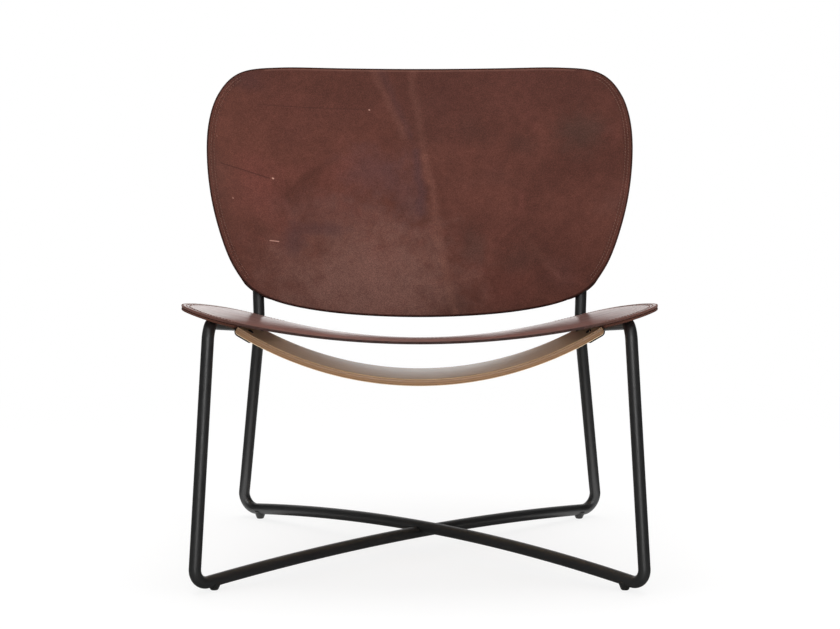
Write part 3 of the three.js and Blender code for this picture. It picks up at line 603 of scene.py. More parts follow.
# Places on the back are millimetres across and up from the rails' ends, in the uprights' plane.
# A patch is its middle, its reach both ways, its strength and its tone. A vein or a mark is its
# line from end to end, its width, its strength and its tone.
back_clouds = {
    "dark": (74, 41, 33),
    "warm": (86, 49, 40),
    "red": (93, 52, 44),
    "smoky": (86, 54, 47),
    "patches": (
        # Painted reflection: the front light's soft sheen on the lower middle of the back, left of
        # centre, as a lighter bluish patch
        ((-80, 75), (200, 160), 0.8, (106, 74, 66)),
        # Darker towards the top of the back
        ((0, 470), (600, 160), 0.7, (72, 40, 33)),
        ((-80, 270), (70, 60), 0.35, (80, 55, 57)),
        ((-20, 239), (40, 80), 0.3, (80, 55, 56)),
        ((-150, 200), (120, 50), 0.3, (88, 58, 54)),
        ((-203, 146), (28, 35), 0.55, (66, 42, 42)),
        ((-165, 168), (60, 16), 0.5, (66, 42, 42)),
        ((262, 334), (55, 60), 0.6, (66, 46, 39)),
        ((172, 315), (35, 28), 0.5, (68, 41, 34)),
        ((90, 338), (40, 30), 0.35, (68, 41, 34)),
        ((81, 144), (30, 55), 0.6, (68, 42, 35)),
        ((163, 115), (50, 30), 0.5, (70, 43, 36)),
        ((228, 87), (35, 35), 0.4, (72, 45, 40)),
        ((57, 40), (30, 45), 0.5, (70, 43, 36)),
        ((-290, 425), (60, 35), 0.45, (68, 42, 40)),
        ((-270, 235), (50, 80), 0.25, (106, 57, 50)),
        ((139, 65), (55, 40), 0.25, (101, 54, 45)),
        ((-120, 425), (150, 50), 0.35, (76, 43, 34)),
    ),
    "veins": (
        ((-20, 490, 8, 300), 12, 0.2, (110, 71, 60)),
        ((8, 300, 41, 110), 12, 0.28, (116, 75, 64)),
        ((41, 110, 56, 10), 11, 0.26, (112, 73, 61)),
        ((-8, 310, 4, 200), 14, 0.5, (68, 45, 47)),
        ((-80, 470, -30, 345), 12, 0.2, (110, 72, 62)),
        ((-64, 460, -18, 345), 12, 0.35, (70, 45, 44)),
        ((166, 160, 224, 80), 12, 0.12, (106, 69, 58)),
    ),
    "marks": (
        ((-322, 271, -244, 251), 1.6, 0.75, (54, 30, 26)),
        ((-239, 251.5, -238, 251), 2.1, 0.9, (196, 150, 134)),
        ((-265, 380, -90, 382), 1.3, 0.55, (58, 33, 28)),
        ((-83.6, 381.4, -83, 381), 1.8, 0.85, (190, 146, 130)),
        ((-241, 143, -227, 142.3), 1.3, 0.8, (188, 142, 128)),
        ((-301.6, 211.8, -301.2, 211.4), 1.6, 0.7, (176, 130, 116)),
        ((-330, 318.6, -329.8, 318.2), 1.4, 0.6, (168, 122, 108)),
    ),
}
seat_clouds = {
    "dark": (88, 50, 40),
    "warm": (104, 59, 47),
    "red": (112, 59, 47),
    "smoky": (97, 62, 53),
}

back_leather = leather_material("back_leather", back_clouds, back_plane(), 0.52)
# The wing edge tones of the seat and the straps are painted light, lighter where the edge faces the
# lamps
seat_leather = leather_material(
    "seat_leather", seat_clouds, {}, 0.36, shine=0.5, waxed=True, lit_wing_edge=(84, 50, 41)
)
strap_leather = leather_material("strap_leather", seat_clouds, {}, 0.55, lit_wing_edge=(72, 45, 37))
black_steel = steel_material("black_powder_coat", 0.44, 0.5, 0.9)
fitting_steel = steel_material("black_fittings", 0.7, 0.78, 0.15)
black_plastic = plastic_material()
brown_thread = thread_material()
bow_wood = wood_material()


# Frame tubes


def unit(vectors):
    """Vectors of the same ways and length 1."""
    return vectors / np.linalg.norm(vectors, axis=-1, keepdims=True)


def mirror(point, side):
    """The same place on the right of the chair for side 1, on the left for side -1."""
    return point * [side, 1.0, 1.0]


def circle_round(middles, first, second, radius, sides):
    """Rings: each middle plus radius times the cosine of one way and the sine of another."""
    angle = np.linspace(0.0, 2.0 * math.pi, sides, endpoint=False)[:, None]
    ways = np.cos(angle) * first[:, None] + np.sin(angle) * second[:, None]
    return middles[:, None] + np.reshape(radius, (-1, 1, 1)) * ways


def round_corner(before, corner, after, radius, steps):
    """Points of the arc that rounds a corner, and how far the arc's middle stays off the corner."""
    to_before, to_after = unit(before - corner), unit(after - corner)
    half = math.acos(float(np.clip(to_before @ to_after, -1.0, 1.0))) / 2.0
    centre = corner + unit(to_before + to_after) * radius / math.sin(half)
    first = corner + to_before * radius / math.tan(half) - centre
    last = corner + to_after * radius / math.tan(half) - centre
    sweep = math.pi - 2.0 * half
    angle = np.linspace(0.0, sweep, steps + 1)[:, None]
    arc = (np.sin(sweep - angle) * first + np.sin(angle) * last) / math.sin(sweep)
    return arc + centre, radius / math.sin(half) - radius


UPRIGHT_WAY = unit(np.array([math.tan(SPLAY), math.sin(LEAN), math.cos(LEAN)]))
UPRIGHT_TOP = RAIL_REAR + UPRIGHT_WAY * UPRIGHT_LENGTH


def tube_centreline(side, rise):
    """Centreline of one frame tube, from its upright's top to its rail's end.

    Straight runs between rounded corners; on the floor the run is lifted by rise times
    one minus the square of the signed share of the way from its middle.
    """
    top, kink = mirror(UPRIGHT_TOP, side), mirror(RAIL_REAR, side)
    rear, front = mirror(REAR_FOOT, side), mirror(FRONT_FOOT, -side)
    corner, end = mirror(RAIL_FRONT, -side), mirror(RAIL_REAR, -side)
    kink_arc, setback = round_corner(top, kink, rear, UPRIGHT_BEND_RADIUS, 24)
    rear_arc, _ = round_corner(kink, rear, front, BEND_RADIUS, 20)
    front_arc, _ = round_corner(rear, front, corner, BEND_RADIUS, 20)
    top_arc, _ = round_corner(front, corner, end, BEND_RADIUS, 20)
    run = front - rear

    def lifted(points):
        """Raised in the middle of the floor run."""
        share = np.clip((points - rear) @ run / (run @ run), 0.0, 1.0)
        return points + rise * (1.0 - (2.0 * share - 1.0) ** 2)[:, None] * [0.0, 0.0, 1.0]

    def straight(a, b, count):
        """Even places from a to b."""
        return a + (b - a) * np.linspace(0.0, 1.0, count)[:, None]

    even = np.linspace(0.0, 1.0, 61)
    fine = 0.5 + np.linspace(-0.045, 0.045, 61)
    shares = np.unique(np.round(np.concatenate([even[1:-1], fine]), 5))[:, None]
    floor_run = rear_arc[-1] * (1 - shares) + front_arc[0] * shares
    seated_end = end + unit(end - corner) * setback
    return np.concatenate(
        [
            straight(top, kink_arc[0], 12)[:-1],
            kink_arc,
            straight(kink_arc[-1], rear_arc[0], 12)[1:-1],
            lifted(rear_arc),
            lifted(floor_run),
            lifted(front_arc),
            straight(front_arc[-1], top_arc[0], 14)[1:-1],
            top_arc,
            straight(top_arc[-1], seated_end, 24)[1:],
        ]
    )


def frames_along(path):
    """Two cross directions of a path that turn as little as possible along it."""
    steps = unit(np.diff(path, axis=0))
    tangents = unit(np.concatenate([steps[:1], steps[:-1] + steps[1:], steps[-1:]]))
    crosses = [unit(np.cross(tangents[0], [1.0, 0.0, 0.0]))]
    for tangent in tangents[1:]:
        crosses.append(unit(crosses[-1] - tangent * (crosses[-1] @ tangent)))
    across = np.array(crosses)
    return across, np.cross(tangents, across)


def nearest_on_path(points, path):
    """For each point, the closest point of a line of short straight stretches."""
    best = np.full(len(points), np.inf)
    found = np.zeros_like(points)
    for a, b in zip(path[:-1], path[1:]):
        way = b - a
        share = np.clip((points - a) @ way / (way @ way), 0.0, 1.0)
        spot = a + share[:, None] * way
        distance = np.linalg.norm(points - spot, axis=1)
        closer = distance < best
        best[closer], found[closer] = distance[closer], spot[closer]
    return found, best


def tube_skin(path):
    """A frame tube's skin, its start bored out to the wall's thickness and its end flat."""
    across, up_way = frames_along(path)
    inward = unit(path[1] - path[0]) * SOCKET_DEPTH
    stations = np.concatenate([[path[0] + inward, path[0]], path])
    radii = np.full(len(stations), TUBE_RADIUS)
    radii[:2] -= TUBE_WALL
    across = np.concatenate([across[[0, 0]], across])
    up_way = np.concatenate([up_way[[0, 0]], up_way])
    rings = circle_round(stations, across, up_way, radii, TUBE_SIDES)
    points = np.concatenate([rings.reshape(-1, 3), stations[[0, -1]]])
    return points, capped_faces(len(stations), TUBE_SIDES)


upper_path = tube_centreline(-1.0, UPPER_ARCH)
lower_path = tube_centreline(1.0, LOWER_ARCH)
upper_points, upper_faces = tube_skin(upper_path)
lower_points, lower_faces = tube_skin(lower_path)

# The lower tube is dented to a saddle where the upper one lies on it
crossing = np.abs(lower_points[:, 0]) < CROSSING_REACH
crossing &= lower_points[:, 2] < CROSSING_TOP
spots, distances = nearest_on_path(lower_points[crossing], upper_path)
away = (lower_points[crossing] - spots) / distances[:, None]
lower_points[crossing] = spots + away * np.maximum(distances, TUBE_RADIUS + DENT_GAP)[:, None]

for word, points, faces in (
    ("upper", upper_points, upper_faces),
    ("lower", lower_points, lower_faces),
):
    node_name = f"frame_tube_{word}"
    make_piece(f"tube_{word}", to_row(points), faces, black_steel, "black_steel", node_name)


def weld_bead(word, rail_path, post_path):
    """A rope of weld where a rail's skin enters a post's skin, slightly lumpy along its length.

    For each angle round the rail, its skin line is halved down to where it is a tube radius from
    the post's centreline; the bead is a tube along those places.
    """
    end = rail_path[-1:]
    way = unit(end - rail_path[-2])
    side = unit(np.cross(way, [0.0, 0.0, 1.0]))
    rim = circle_round(0.0 * end, side, np.cross(side, way), 1.0, WELD_POINTS)[0]
    line = end + rim * TUBE_RADIUS
    near, far = np.full(len(rim), -40.0), np.zeros(len(rim))
    for _ in range(24):
        middle = (near + far) / 2.0
        _, distance = nearest_on_path(line + way * middle[:, None], post_path)
        inside = distance < TUBE_RADIUS
        far, near = np.where(inside, middle, far), np.where(inside, near, middle)
    seam = line + way * near[:, None]
    outward = unit(unit(seam - nearest_on_path(seam, post_path)[0]) + rim)
    angle = np.linspace(0.0, 2.0 * math.pi, len(rim), endpoint=False)
    lumps = WELD_RADIUS + 0.14 * np.sin(angle * 17.0) + 0.08 * np.sin(angle * 29.0 + 1.0)
    ahead = unit(np.roll(seam, -1, axis=0) - np.roll(seam, 1, axis=0))
    points = circle_round(seam, outward, np.cross(ahead, outward), lumps, WELD_SIDES)
    faces = [grid_faces(*points.shape[:2], close_rows=True, close_columns=True)]
    points = to_row(points.reshape(-1, 3))
    make_piece(f"rail_weld_{word}", points, faces, black_steel, "black_steel")


weld_bead("right", upper_path, lower_path)
weld_bead("left", lower_path, upper_path)


# Leather

# Half an outline from its top's middle to its bottom's: shares of the half width, and of the
# reach over or under the widest line
OUTLINE_X = (0.0, 0.38, 0.67, 0.855, 0.955, 1.0, 0.995, 0.949, 0.86, 0.73, 0.46, 0.0)
OUTLINE_Y = (1.0, 0.99, 0.96, 0.87, 0.63, 0.265, -0.13, -0.44, -0.735, -0.9, -0.976, -1.0)


def leather_outline(half_width, wide_reach, narrow_reach, per_span=16):
    """Closed Catmull-Rom curve through the mirrored shares, in millimetres from the widest line."""
    half = np.stack([OUTLINE_X, OUTLINE_Y], -1) * [half_width, 1.0]
    half[:, 1] *= np.where(half[:, 1] > 0, wide_reach, narrow_reach)
    knots = np.concatenate([half, half[1:-1][::-1] * [-1.0, 1.0]])
    before, after = np.roll(knots, 1, axis=0), np.roll(knots, -1, axis=0)
    beyond = np.roll(knots, -2, axis=0)
    slope_a, slope_b = (after - before) / 2.0, (beyond - knots) / 2.0
    t = (np.arange(per_span) / per_span)[None, :, None]
    spans = (
        (2 * t**3 - 3 * t**2 + 1) * knots[:, None]
        + (t**3 - 2 * t**2 + t) * slope_a[:, None]
        + (3 * t**2 - 2 * t**3) * after[:, None]
        + (t**3 - t**2) * slope_b[:, None]
    )
    return spans.reshape(-1, 2)


def rail_at(behind):
    """Half distance and height of the side rails' centrelines at places behind the front."""
    share = behind / RAIL_REAR[1]
    x = RAIL_FRONT[0] + (RAIL_REAR[0] - RAIL_FRONT[0]) * share
    z = RAIL_FRONT[2] + (RAIL_REAR[2] - RAIL_FRONT[2]) * share
    return x, z


def seat_lift(behind):
    """How far the seat's face lies over the rails' centrelines, a little more to the rear."""
    return LIFT + (SEAT_REAR_LIFT - LIFT) * behind / RAIL_REAR[1]


def seat_height(x, y):
    """Top of the seat: rail height and lift, less a parabola of sag, the wings' droop and a lip."""
    behind = SEAT_WIDEST - y
    rail_x, rail_z = rail_at(behind)
    droop = SEAT_DROOP * (np.maximum(0.0, np.abs(x) - rail_x) / WING_SPAN) ** 2
    lip = LIP_DROP * (np.maximum(0.0, LIP_START - behind) / LIP_SPAN) ** 2
    return rail_z + seat_lift(behind) - SEAT_SAG * (1.0 - (x / rail_x) ** 2) - droop - lip


def seat_place(x, y, z):
    """From the seat's outline, turned half round, to the row frame."""
    return to_row(np.stack([-x, SEAT_WIDEST - y, z], -1))


def upright_x(y):
    """How far the uprights stand from the middle, at places up from the back's widest line."""
    return RAIL_REAR[0] + (BACK_WIDEST + y) * math.tan(SPLAY)


def back_height(x, y):
    """Front of the back over the uprights' plane: lift, less a parabola of sag and a droop."""
    carrier = upright_x(y)
    droop = BACK_DROOP * (np.maximum(0.0, np.abs(x) - carrier) / WING_SPAN) ** 2
    return LIFT - BACK_SAG * (1.0 - (x / carrier) ** 2) - droop


def back_place(x, y, z):
    """From across, up from the widest line and out to the sitter, to the row frame."""
    up = y + BACK_WIDEST
    behind = RAIL_REAR[1] + up * math.sin(LEAN) - z * math.cos(LEAN)
    height = RAIL_REAR[2] + up * math.cos(LEAN) + z * math.sin(LEAN)
    return to_row(np.stack([x, behind, height], -1))


# Edge profile of a ply: how far in from the outline, how far down, and how much it is edge
EDGE_IN = np.array([1.3, 0.9, 0.5, 0.17, 0.0, 0.0, 0.0, 0.17, 0.5, 0.9, 1.3])
EDGE_DOWN = np.array([0.0, 0.07, 0.26, 0.62, 1.1, 1.9, 2.7, 3.18, 3.54, 3.73, 3.8])
EDGE_SHARE = np.array([0.9, 1.0, 1.0, 1.0, 1.0, 1.0, 1.0, 1.0, 0.9, 0.5, 0.1])
# Rings set in from the edge on a ply's face, and rings between them and the middle
FACE_INSETS = np.array(
    [20, 18, 16.5, 15.6, 14.8, 14, 13.3, 12.7, 12, 11.4, 10.8, 10.2, 9.6, 9]
    + [8.4, 7.8, 7.2, 6.6, 6, 5.4, 4.9, 4.3, 3.7, 3, 2.4, 1.8]
)
INNER_SHARES = np.linspace(0.0, 1.0, 42)[1:-1] ** 0.8
# Set in from both long edges of a second ply
SECOND_INSETS = np.array([2.1, 3.0, 4.0, 5.5, 7.0, 8.5, 10.0])
# Half widths over which the second ply and its sewing set in, and the stretches of the outline
# over which the painted shade on the low rim and the rubbed top rim set in
DOUBLED_FADE = 4.0
SEWN_FADE = 6.0
LOW_RIM = (-20.0, 60.0)
TOP_RIM = (40.0, 110.0)


def bell(value, middle, width):
    """1 at the middle, falling to 0 on both sides over about twice the width."""
    return np.exp(-(((value - middle) / width) ** 2))


def groove(inset):
    """Depth share of the sewn grooves at distances in from the edge: a narrow bell for each row."""
    return sum(bell(inset, seam, 0.9) for seam in SEAM_INSETS)


def pressed(inset):
    """Darkening beside and between the two rows of stitches."""
    rows = ((0.35, 4.9, 0.9), (0.5, 9.6, 1.1), (0.25, 14.8, 1.2))
    return sum(depth * bell(inset, middle, width) for depth, middle, width in rows)


def outline_normals(outline):
    """Outward unit normals of a closed flat outline, by its neighbours' difference."""
    ahead = np.roll(outline, -1, axis=0) - np.roll(outline, 1, axis=0)
    normal = unit(np.stack([ahead[:, 1], -ahead[:, 0]], -1))
    return normal * np.sign((normal * outline).sum(1).mean())


def sheet(name, node_name, material, ply, press=1.0, rim=0.0):
    """A whole ply.

    Rings of the outline: shrunk towards the middle, then set in by distances from the edge,
    round the edge's profile and back under. The layers mark the cut edge, the dark creases
    beside the sewn grooves (press), painted shade along the wings' lower rim (rim), the rubbed
    line along the top's rim and the bare flesh side.
    """
    outline, height = ply["outline"], ply["height"]
    normal = outline_normals(outline)
    inner = outline - normal * FACE_INSETS[0]
    past_seam = np.abs(outline[:, 0]) - ply["inner_x"](outline[:, 1])
    doubled = smoothstep(past_seam, -DOUBLED_FADE, DOUBLED_FADE)
    sewn = smoothstep(past_seam - ply["unsewn"], -SEWN_FADE, SEWN_FADE)
    # Painted shade along the wings' lower rim, which is seen dark against the light behind
    low_rim_shade = rim * doubled * smoothstep(-outline[:, 1], *LOW_RIM)
    top_rim = smoothstep(outline[:, 1], *TOP_RIM) * (1.0 - doubled)
    flats = []
    layers = {"drop": [], "edge": [], "crease": [], "rub": [], "flesh": []}

    def add(flat, **values):
        """One more ring, with its drop below the face and its other values."""
        flats.append(flat)
        for key, column in layers.items():
            column.append(np.broadcast_to(values.get(key, 0.0), (len(outline),)))

    for share in INNER_SHARES:
        add(inner * share)
    for inset in FACE_INSETS:
        add(
            outline - normal * inset,
            drop=groove(inset) * sewn * GROOVE_DEPTH,
            edge=1.0 - smoothstep(inset, 2.0, 3.6),
            # Creases beside the stitches, plus the painted shade on the low rim
            crease=pressed(inset) * sewn * press + low_rim_shade * (1.0 - smoothstep(inset, 3.7, 6.6)),
            rub=bell(inset, 4.3, 1.1) * top_rim,
        )
    for inset, drop, edge in zip(EDGE_IN, EDGE_DOWN, EDGE_SHARE):
        add(outline - normal * inset, drop=drop, edge=edge, flesh=float(drop > 3.6))
    for inset in FACE_INSETS[::-1][::2]:
        add(outline - normal * inset, drop=PLY, flesh=1.0)
    for share in INNER_SHARES[::-1]:
        add(inner * share, drop=PLY, flesh=1.0)

    flat = np.array(flats)
    z = height(flat[..., 0], flat[..., 1]) - np.array(layers.pop("drop"))
    rings = ply["place"](flat[..., 0], flat[..., 1], z)
    middle = np.zeros(2)
    ends = ply["place"](middle, middle, height(middle, middle) - [0.0, PLY])
    points = np.concatenate([rings.reshape(-1, 3), ends])
    every = {
        key: np.concatenate([np.array(column).ravel(), [0.0, float(key == "flesh")]])
        for key, column in layers.items()
    }
    faces = capped_faces(*rings.shape[:2])
    make_piece(name, points, faces, material, "saddle_leather", node_name, **every)


def pocket_inner_x(y):
    """The sewn line of the back's pockets, inside the uprights."""
    return upright_x(y) - POCKET_SEAM


def doubler_inner_x(y):
    """The sewn line of the seat's second ply, inside the rails."""
    return rail_at(SEAT_WIDEST - y)[0] - DOUBLER_SEAM


seat_ply = {
    "outline": leather_outline(SEAT_HALF_WIDTH, SEAT_FRONT_REACH, SEAT_REAR_REACH),
    "inner_x": doubler_inner_x,
    "height": seat_height,
    "place": seat_place,
    "unsewn": 3.0,
}
back_ply = {
    "outline": leather_outline(BACK_HALF_WIDTH, BACK_UPPER_REACH, BACK_LOWER_REACH),
    "inner_x": pocket_inner_x,
    "height": back_height,
    "place": back_place,
    "unsewn": 36.0,
}
# rim sets the painted shade along the wings' lower rim
sheet("seat_top_ply", "seat_sheet", seat_leather, seat_ply, press=0.3, rim=1.4)
sheet("back_front_ply", "back_sheet", back_leather, back_ply)


def measured(line):
    """How long a line is, and the places along it as a function of the distance."""
    steps = np.append(0.0, np.cumsum(np.linalg.norm(np.diff(line, axis=0), axis=1)))

    def places(wanted):
        """Places at wanted distances."""
        return np.stack([np.interp(wanted, steps, line[:, k]) for k in (0, 1)], -1)

    return steps[-1], places


def wing_arc(outline, inner_x, side, count):
    """Stretch of the outline outside a seam line, evenly spaced, from its lower y end upwards."""
    x, y = outline[:, 0] * side, outline[:, 1]
    outside = x > inner_x(y)
    order = np.argsort(y[outside], kind="stable")
    line = np.stack([x[outside], y[outside]], -1)[order]
    length, places = measured(line)
    return places(np.linspace(0.0, length, count))


def second_ply(inner, outer, height, place, side, holds):
    """Points of a second ply between two matching lines, once round its section for each pair.

    The top runs from inner to outer, rounds the outer edge, comes back underneath and rounds the
    inner edge. Widths near both edges are distances, the rest are shares of the width.
    """
    width = np.linalg.norm(outer - inner, axis=1)
    way = (outer - inner) / np.maximum(width, 1e-6)[:, None]
    limit = np.maximum(width / 2.0, 1e-3)[:, None]
    near = np.minimum(SECOND_INSETS, limit)
    rounded = np.minimum(EDGE_IN, limit)
    free = np.maximum(width[:, None] - 2.0 * near[:, -1:], 0.0)
    middle = near[:, -1:] + free * np.linspace(0.0, 1.0, holds)[None, 1:-1]
    total = width[:, None]
    columns = (
        (near, 0.0, 0.0),
        (middle, 0.0, 0.0),
        (total - near[:, ::-1], 0.0, 0.0),
        (total - rounded, EDGE_DOWN, EDGE_SHARE),
        (total - near, PLY, 0.0),
        (middle[:, ::-1], PLY, 0.0),
        (near[:, ::-1], PLY, 0.0),
        (rounded[:, ::-1], EDGE_DOWN[::-1], EDGE_SHARE[::-1]),
    )
    along = np.concatenate([part for part, _, _ in columns], axis=1)
    drop, edge = (
        np.concatenate([np.broadcast_to(column[k], column[0].shape[1:]) for column in columns])
        for k in (1, 2)
    )
    flat = inner[:, None] + way[:, None] * along[..., None]
    x, y = side * flat[..., 0], flat[..., 1]
    points = place(x, y, height(x, y) - PLY - PLY_GAP - drop)
    return points, np.broadcast_to(edge, along.shape)


def pocket_height(x, y):
    """The pocket ply: the back's surface, pushed to the rear in a bell round the upright."""
    outward = np.abs(x) - upright_x(y)
    depth = LIFT - PLY + TUBE_RADIUS + POCKET_FREE
    reach = np.where(outward < 0, POCKET_INNER_REACH, POCKET_OUTER_REACH)
    share = np.clip(np.abs(outward) / reach, 0.0, 1.0)
    past_top = BACK_WIDEST + y - UPRIGHT_LENGTH - POCKET_OVER_TOP
    fade = 1.0 - smoothstep(past_top, 0.0, POCKET_CLOSING)
    return back_height(x, y) - depth * fade * (1.0 - share**2) ** 1.1


def pocket_place(x, y, z):
    """The back's places, with the lower hem cut back in proportion to how deep the ply bulges."""
    flat_depth = LIFT - 2.0 * PLY - PLY_GAP
    rise = HEM_CUT * np.maximum(0.0, flat_depth - z) * (1.0 - smoothstep(y, *HEM_FADE))
    return back_place(x, y + rise, z)


def back_pocket(word, side):
    """The ply behind the back's wing, closed at both pointed ends."""
    outer = wing_arc(back_ply["outline"], pocket_inner_x, side, 190)
    inner_y = np.linspace(outer[0, 1], outer[-1, 1], len(outer))
    inner = np.stack([pocket_inner_x(inner_y), inner_y], -1)
    outer[[0, -1]] = inner[[0, -1]] + [2.0, 0.0]
    points, edge = second_ply(inner, outer, pocket_height, pocket_place, side, 60)
    make_piece(
        f"back_pocket_ply_{word}",
        np.concatenate([points.reshape(-1, 3), points[[0, -1]].mean(axis=1)]),
        capped_faces(*points.shape[:2]),
        strap_leather,
        "saddle_leather",
        f"back_pocket_{word}",
        edge=np.append(edge, [1.0, 1.0]),
    )


def seat_doubler(word, side):
    """The ply under the seat's wing, with a long slot for the rail.

    Every point of the wing's rim is joined to the nearest place on the rail's line inside the
    slot, stopped at the slot's half width, so the ply is a ring of ruled strips.
    """
    outer = wing_arc(seat_ply["outline"], doubler_inner_x, side, 220)
    seam_y = np.linspace(outer[-1, 1], outer[0, 1], 130)[1:-1]
    seam = np.stack([doubler_inner_x(seam_y), seam_y], -1)
    rim = np.concatenate([outer, seam])
    ends_y = SEAT_WIDEST - np.array([SLOT_REAR - SLOT_HALF_WIDTH, SLOT_FRONT + SLOT_HALF_WIDTH])
    line = np.stack([rail_at(SEAT_WIDEST - ends_y)[0], ends_y], -1)
    way = line[1] - line[0]
    share = np.clip((rim - line[0]) @ way / (way @ way), 0.0, 1.0)
    spot = line[0] + share[:, None] * way
    slot_edge = spot + unit(rim - spot) * SLOT_HALF_WIDTH
    points, edge = second_ply(slot_edge, rim, seat_height, seat_place, side, 24)
    make_piece(
        f"seat_under_ply_{word}",
        points.reshape(-1, 3),
        [grid_faces(*points.shape[:2], close_rows=True, close_columns=True)],
        strap_leather,
        "saddle_leather",
        f"seat_doubler_{word}",
        edge=edge.ravel(),
    )


back_pocket("left", -1.0)
back_pocket("right", 1.0)
# The seat's outline is turned round on its way to the chair, so left and right change places
seat_doubler("left", 1.0)
seat_doubler("right", -1.0)


# A stitch from end to end: places along it, its thickness and how high it stands
STITCH_ALONG = np.array([-2.0, -1.85, -1.3, -0.5, 0.5, 1.3, 1.85, 2.0])
STITCH_GIRTH = np.array([0.12, 0.32, 0.46, 0.5, 0.5, 0.46, 0.32, 0.12])
STITCH_ARCH = np.array([-0.5, -0.2, 0.1, 0.28, 0.28, 0.1, -0.2, -0.5])


def stitches(name, inset, ply):
    """A row of saddle stitches along both wings, on the face and under the second ply.

    Each stitch is a small bead of thread, a circle swept over a shallow arch, one at every pitch
    of the seam and turned a little off its line.
    """
    seam = ply["outline"] - outline_normals(ply["outline"]) * inset
    length, places = measured(np.concatenate([seam, seam[:1]]))
    spots = np.arange(0.0, length, STITCH_PITCH)
    centre, ahead = places(spots), places((spots + 1.0) % length)
    keep = np.abs(centre[:, 0]) > ply["inner_x"](centre[:, 1]) + ply["unsewn"]
    centre, way = centre[keep], unit(ahead - centre)[keep]
    sine, cosine = math.sin(STITCH_SLANT), math.cos(STITCH_SLANT)
    way = way @ np.array([[cosine, sine], [-sine, cosine]])
    aside = np.stack([-way[:, 1], way[:, 0]], -1)
    angle = np.linspace(0.0, 2.0 * math.pi, STITCH_SIDES, endpoint=False)
    side_off = (STITCH_GIRTH[:, None] * np.cos(angle))[..., None]
    up_off = STITCH_ARCH[:, None] + STITCH_GIRTH[:, None] * np.sin(angle)
    flat = (
        centre[:, None, None]
        + way[:, None, None] * STITCH_ALONG[:, None, None]
        + aside[:, None, None] * side_off
    )
    x, y = flat[..., 0], flat[..., 1]
    top = ply["place"](x, y, ply["height"](x, y) + up_off - GROOVE_DEPTH * 0.6)
    bottom = ply["place"](x, y, ply["height"](x, y) - up_off - 2.0 * PLY - PLY_GAP)
    points = np.concatenate([top, bottom]).reshape(-1, 3)
    rows, columns = side_off.shape[:2]
    ring = np.arange(columns)
    offset = (np.arange(2 * len(centre)) * rows * columns)[:, None, None]
    quads = (grid_faces(rows, columns, close_columns=True) + offset).reshape(-1, 4)
    caps = (np.stack([ring[::-1], ring + (rows - 1) * columns]) + offset).reshape(-1, columns)
    for faces in (quads, caps):
        half = len(faces) // 2
        faces[half:] = faces[half:, ::-1].copy()
    make_piece(name, points, [quads, caps], brown_thread, "saddle_leather")


for row, inset in zip(("outer", "inner"), SEAM_INSETS):
    stitches(f"seat_stitches_{row}", inset, seat_ply)
    stitches(f"back_stitches_{row}", inset, back_ply)


# Bow


def bow_section():
    """A rectangle with rounded corners, as distances behind and depths below the top face."""
    corner, rest = BOW_CORNER, BOW_REST
    quarter = np.linspace(0.0, math.pi / 2.0, 7)
    middles = np.array(
        [
            [BOW_WIDTH - corner, BOW_THICKNESS - corner],
            [corner, BOW_THICKNESS - corner],
            [corner, corner],
            [BOW_WIDTH - corner, corner],
        ]
    )
    parts = []
    for index, middle in enumerate(middles):
        angle = (quarter + index * math.pi / 2.0)[:, None]
        parts.append(middle + corner * np.concatenate([np.cos(angle), np.sin(angle)], 1))
        if index % 2 == 0:
            span = np.linspace(BOW_WIDTH - rest, rest, 16)
            span, depth = (span, BOW_THICKNESS) if index == 0 else (span[::-1], 0.0)
            parts.append(np.stack([span, np.full(16, depth)], -1))
    return np.concatenate(parts)


def bow_surface():
    """The section carried along an arc about a level axis.

    Near each end it is thinned from below by a quarter circle, and the end face's rim is broken
    by drawing the last two rings in towards the section's middle. Also says which points of the
    section lie on its narrow edges.
    """
    section = bow_section()
    behind, depth = BOW_FRONT + section[:, 0], section[:, 1]
    turn = np.radians(np.linspace(0.0, BOW_END_TURN, 12))
    from_end = np.concatenate([BOW_END_ROUND * (1.0 - np.sin(turn)), [0.03, 0.0]])
    thickness = BOW_THICKNESS - BOW_END_ROUND * (1.0 - np.append(np.cos(turn), [0.08, 0.0]))
    drawn_in = np.append(np.zeros(len(turn)), [0.1, 0.5])
    middle = np.linspace(-1.0, 1.0, BOW_STATIONS)[1:-1]
    share = np.concatenate([-np.ones(len(from_end)), middle, np.ones(len(from_end))])
    still = np.zeros(len(middle))
    from_end = np.concatenate([from_end[::-1], still + BOW_END_ROUND, from_end])
    thickness = np.concatenate([thickness[::-1], still + BOW_THICKNESS, thickness])[:, None]
    drawn_in = np.concatenate([drawn_in[::-1], still, drawn_in])[:, None]

    rail_x, rail_z = rail_at(behind)
    rail_angle = np.arctan2(rail_x, BOW_AXIS - rail_z)
    end = rail_angle - (BOW_END_FROM_RAIL + from_end[:, None]) / BOW_RADIUS
    angle = share[:, None] * end
    middle_behind = BOW_FRONT + BOW_WIDTH / 2.0
    b = middle_behind + (behind - middle_behind) * (1.0 - 2.0 * drawn_in / BOW_WIDTH)
    scaled = depth * thickness / BOW_THICKNESS
    half = thickness / 2.0
    r = BOW_RADIUS + half + (scaled - half) * (1.0 - drawn_in / half)
    points = np.stack([r * np.sin(angle), b + 0.0 * angle, BOW_AXIS - r * np.cos(angle)], -1)
    return points, np.abs(depth - BOW_THICKNESS / 2.0) < BOW_THICKNESS / 2.0 - BOW_EDGE_MARGIN


bow_points, bow_edge = bow_surface()
bow_edges = np.broadcast_to(bow_edge.astype(float), bow_points.shape[:2]).copy()
bow_edges[:2] = bow_edges[-2:] = 1.0
make_piece(
    "bow_board",
    to_row(np.concatenate([bow_points.reshape(-1, 3), bow_points[[0, -1]].mean(axis=1)])),
    capped_faces(*bow_points.shape[:2]),
    bow_wood,
    "moulded_plywood",
    "seat_bow",
    edge=np.append(bow_edges, [1.0, 1.0]),
)


# Keeper straps under the rails


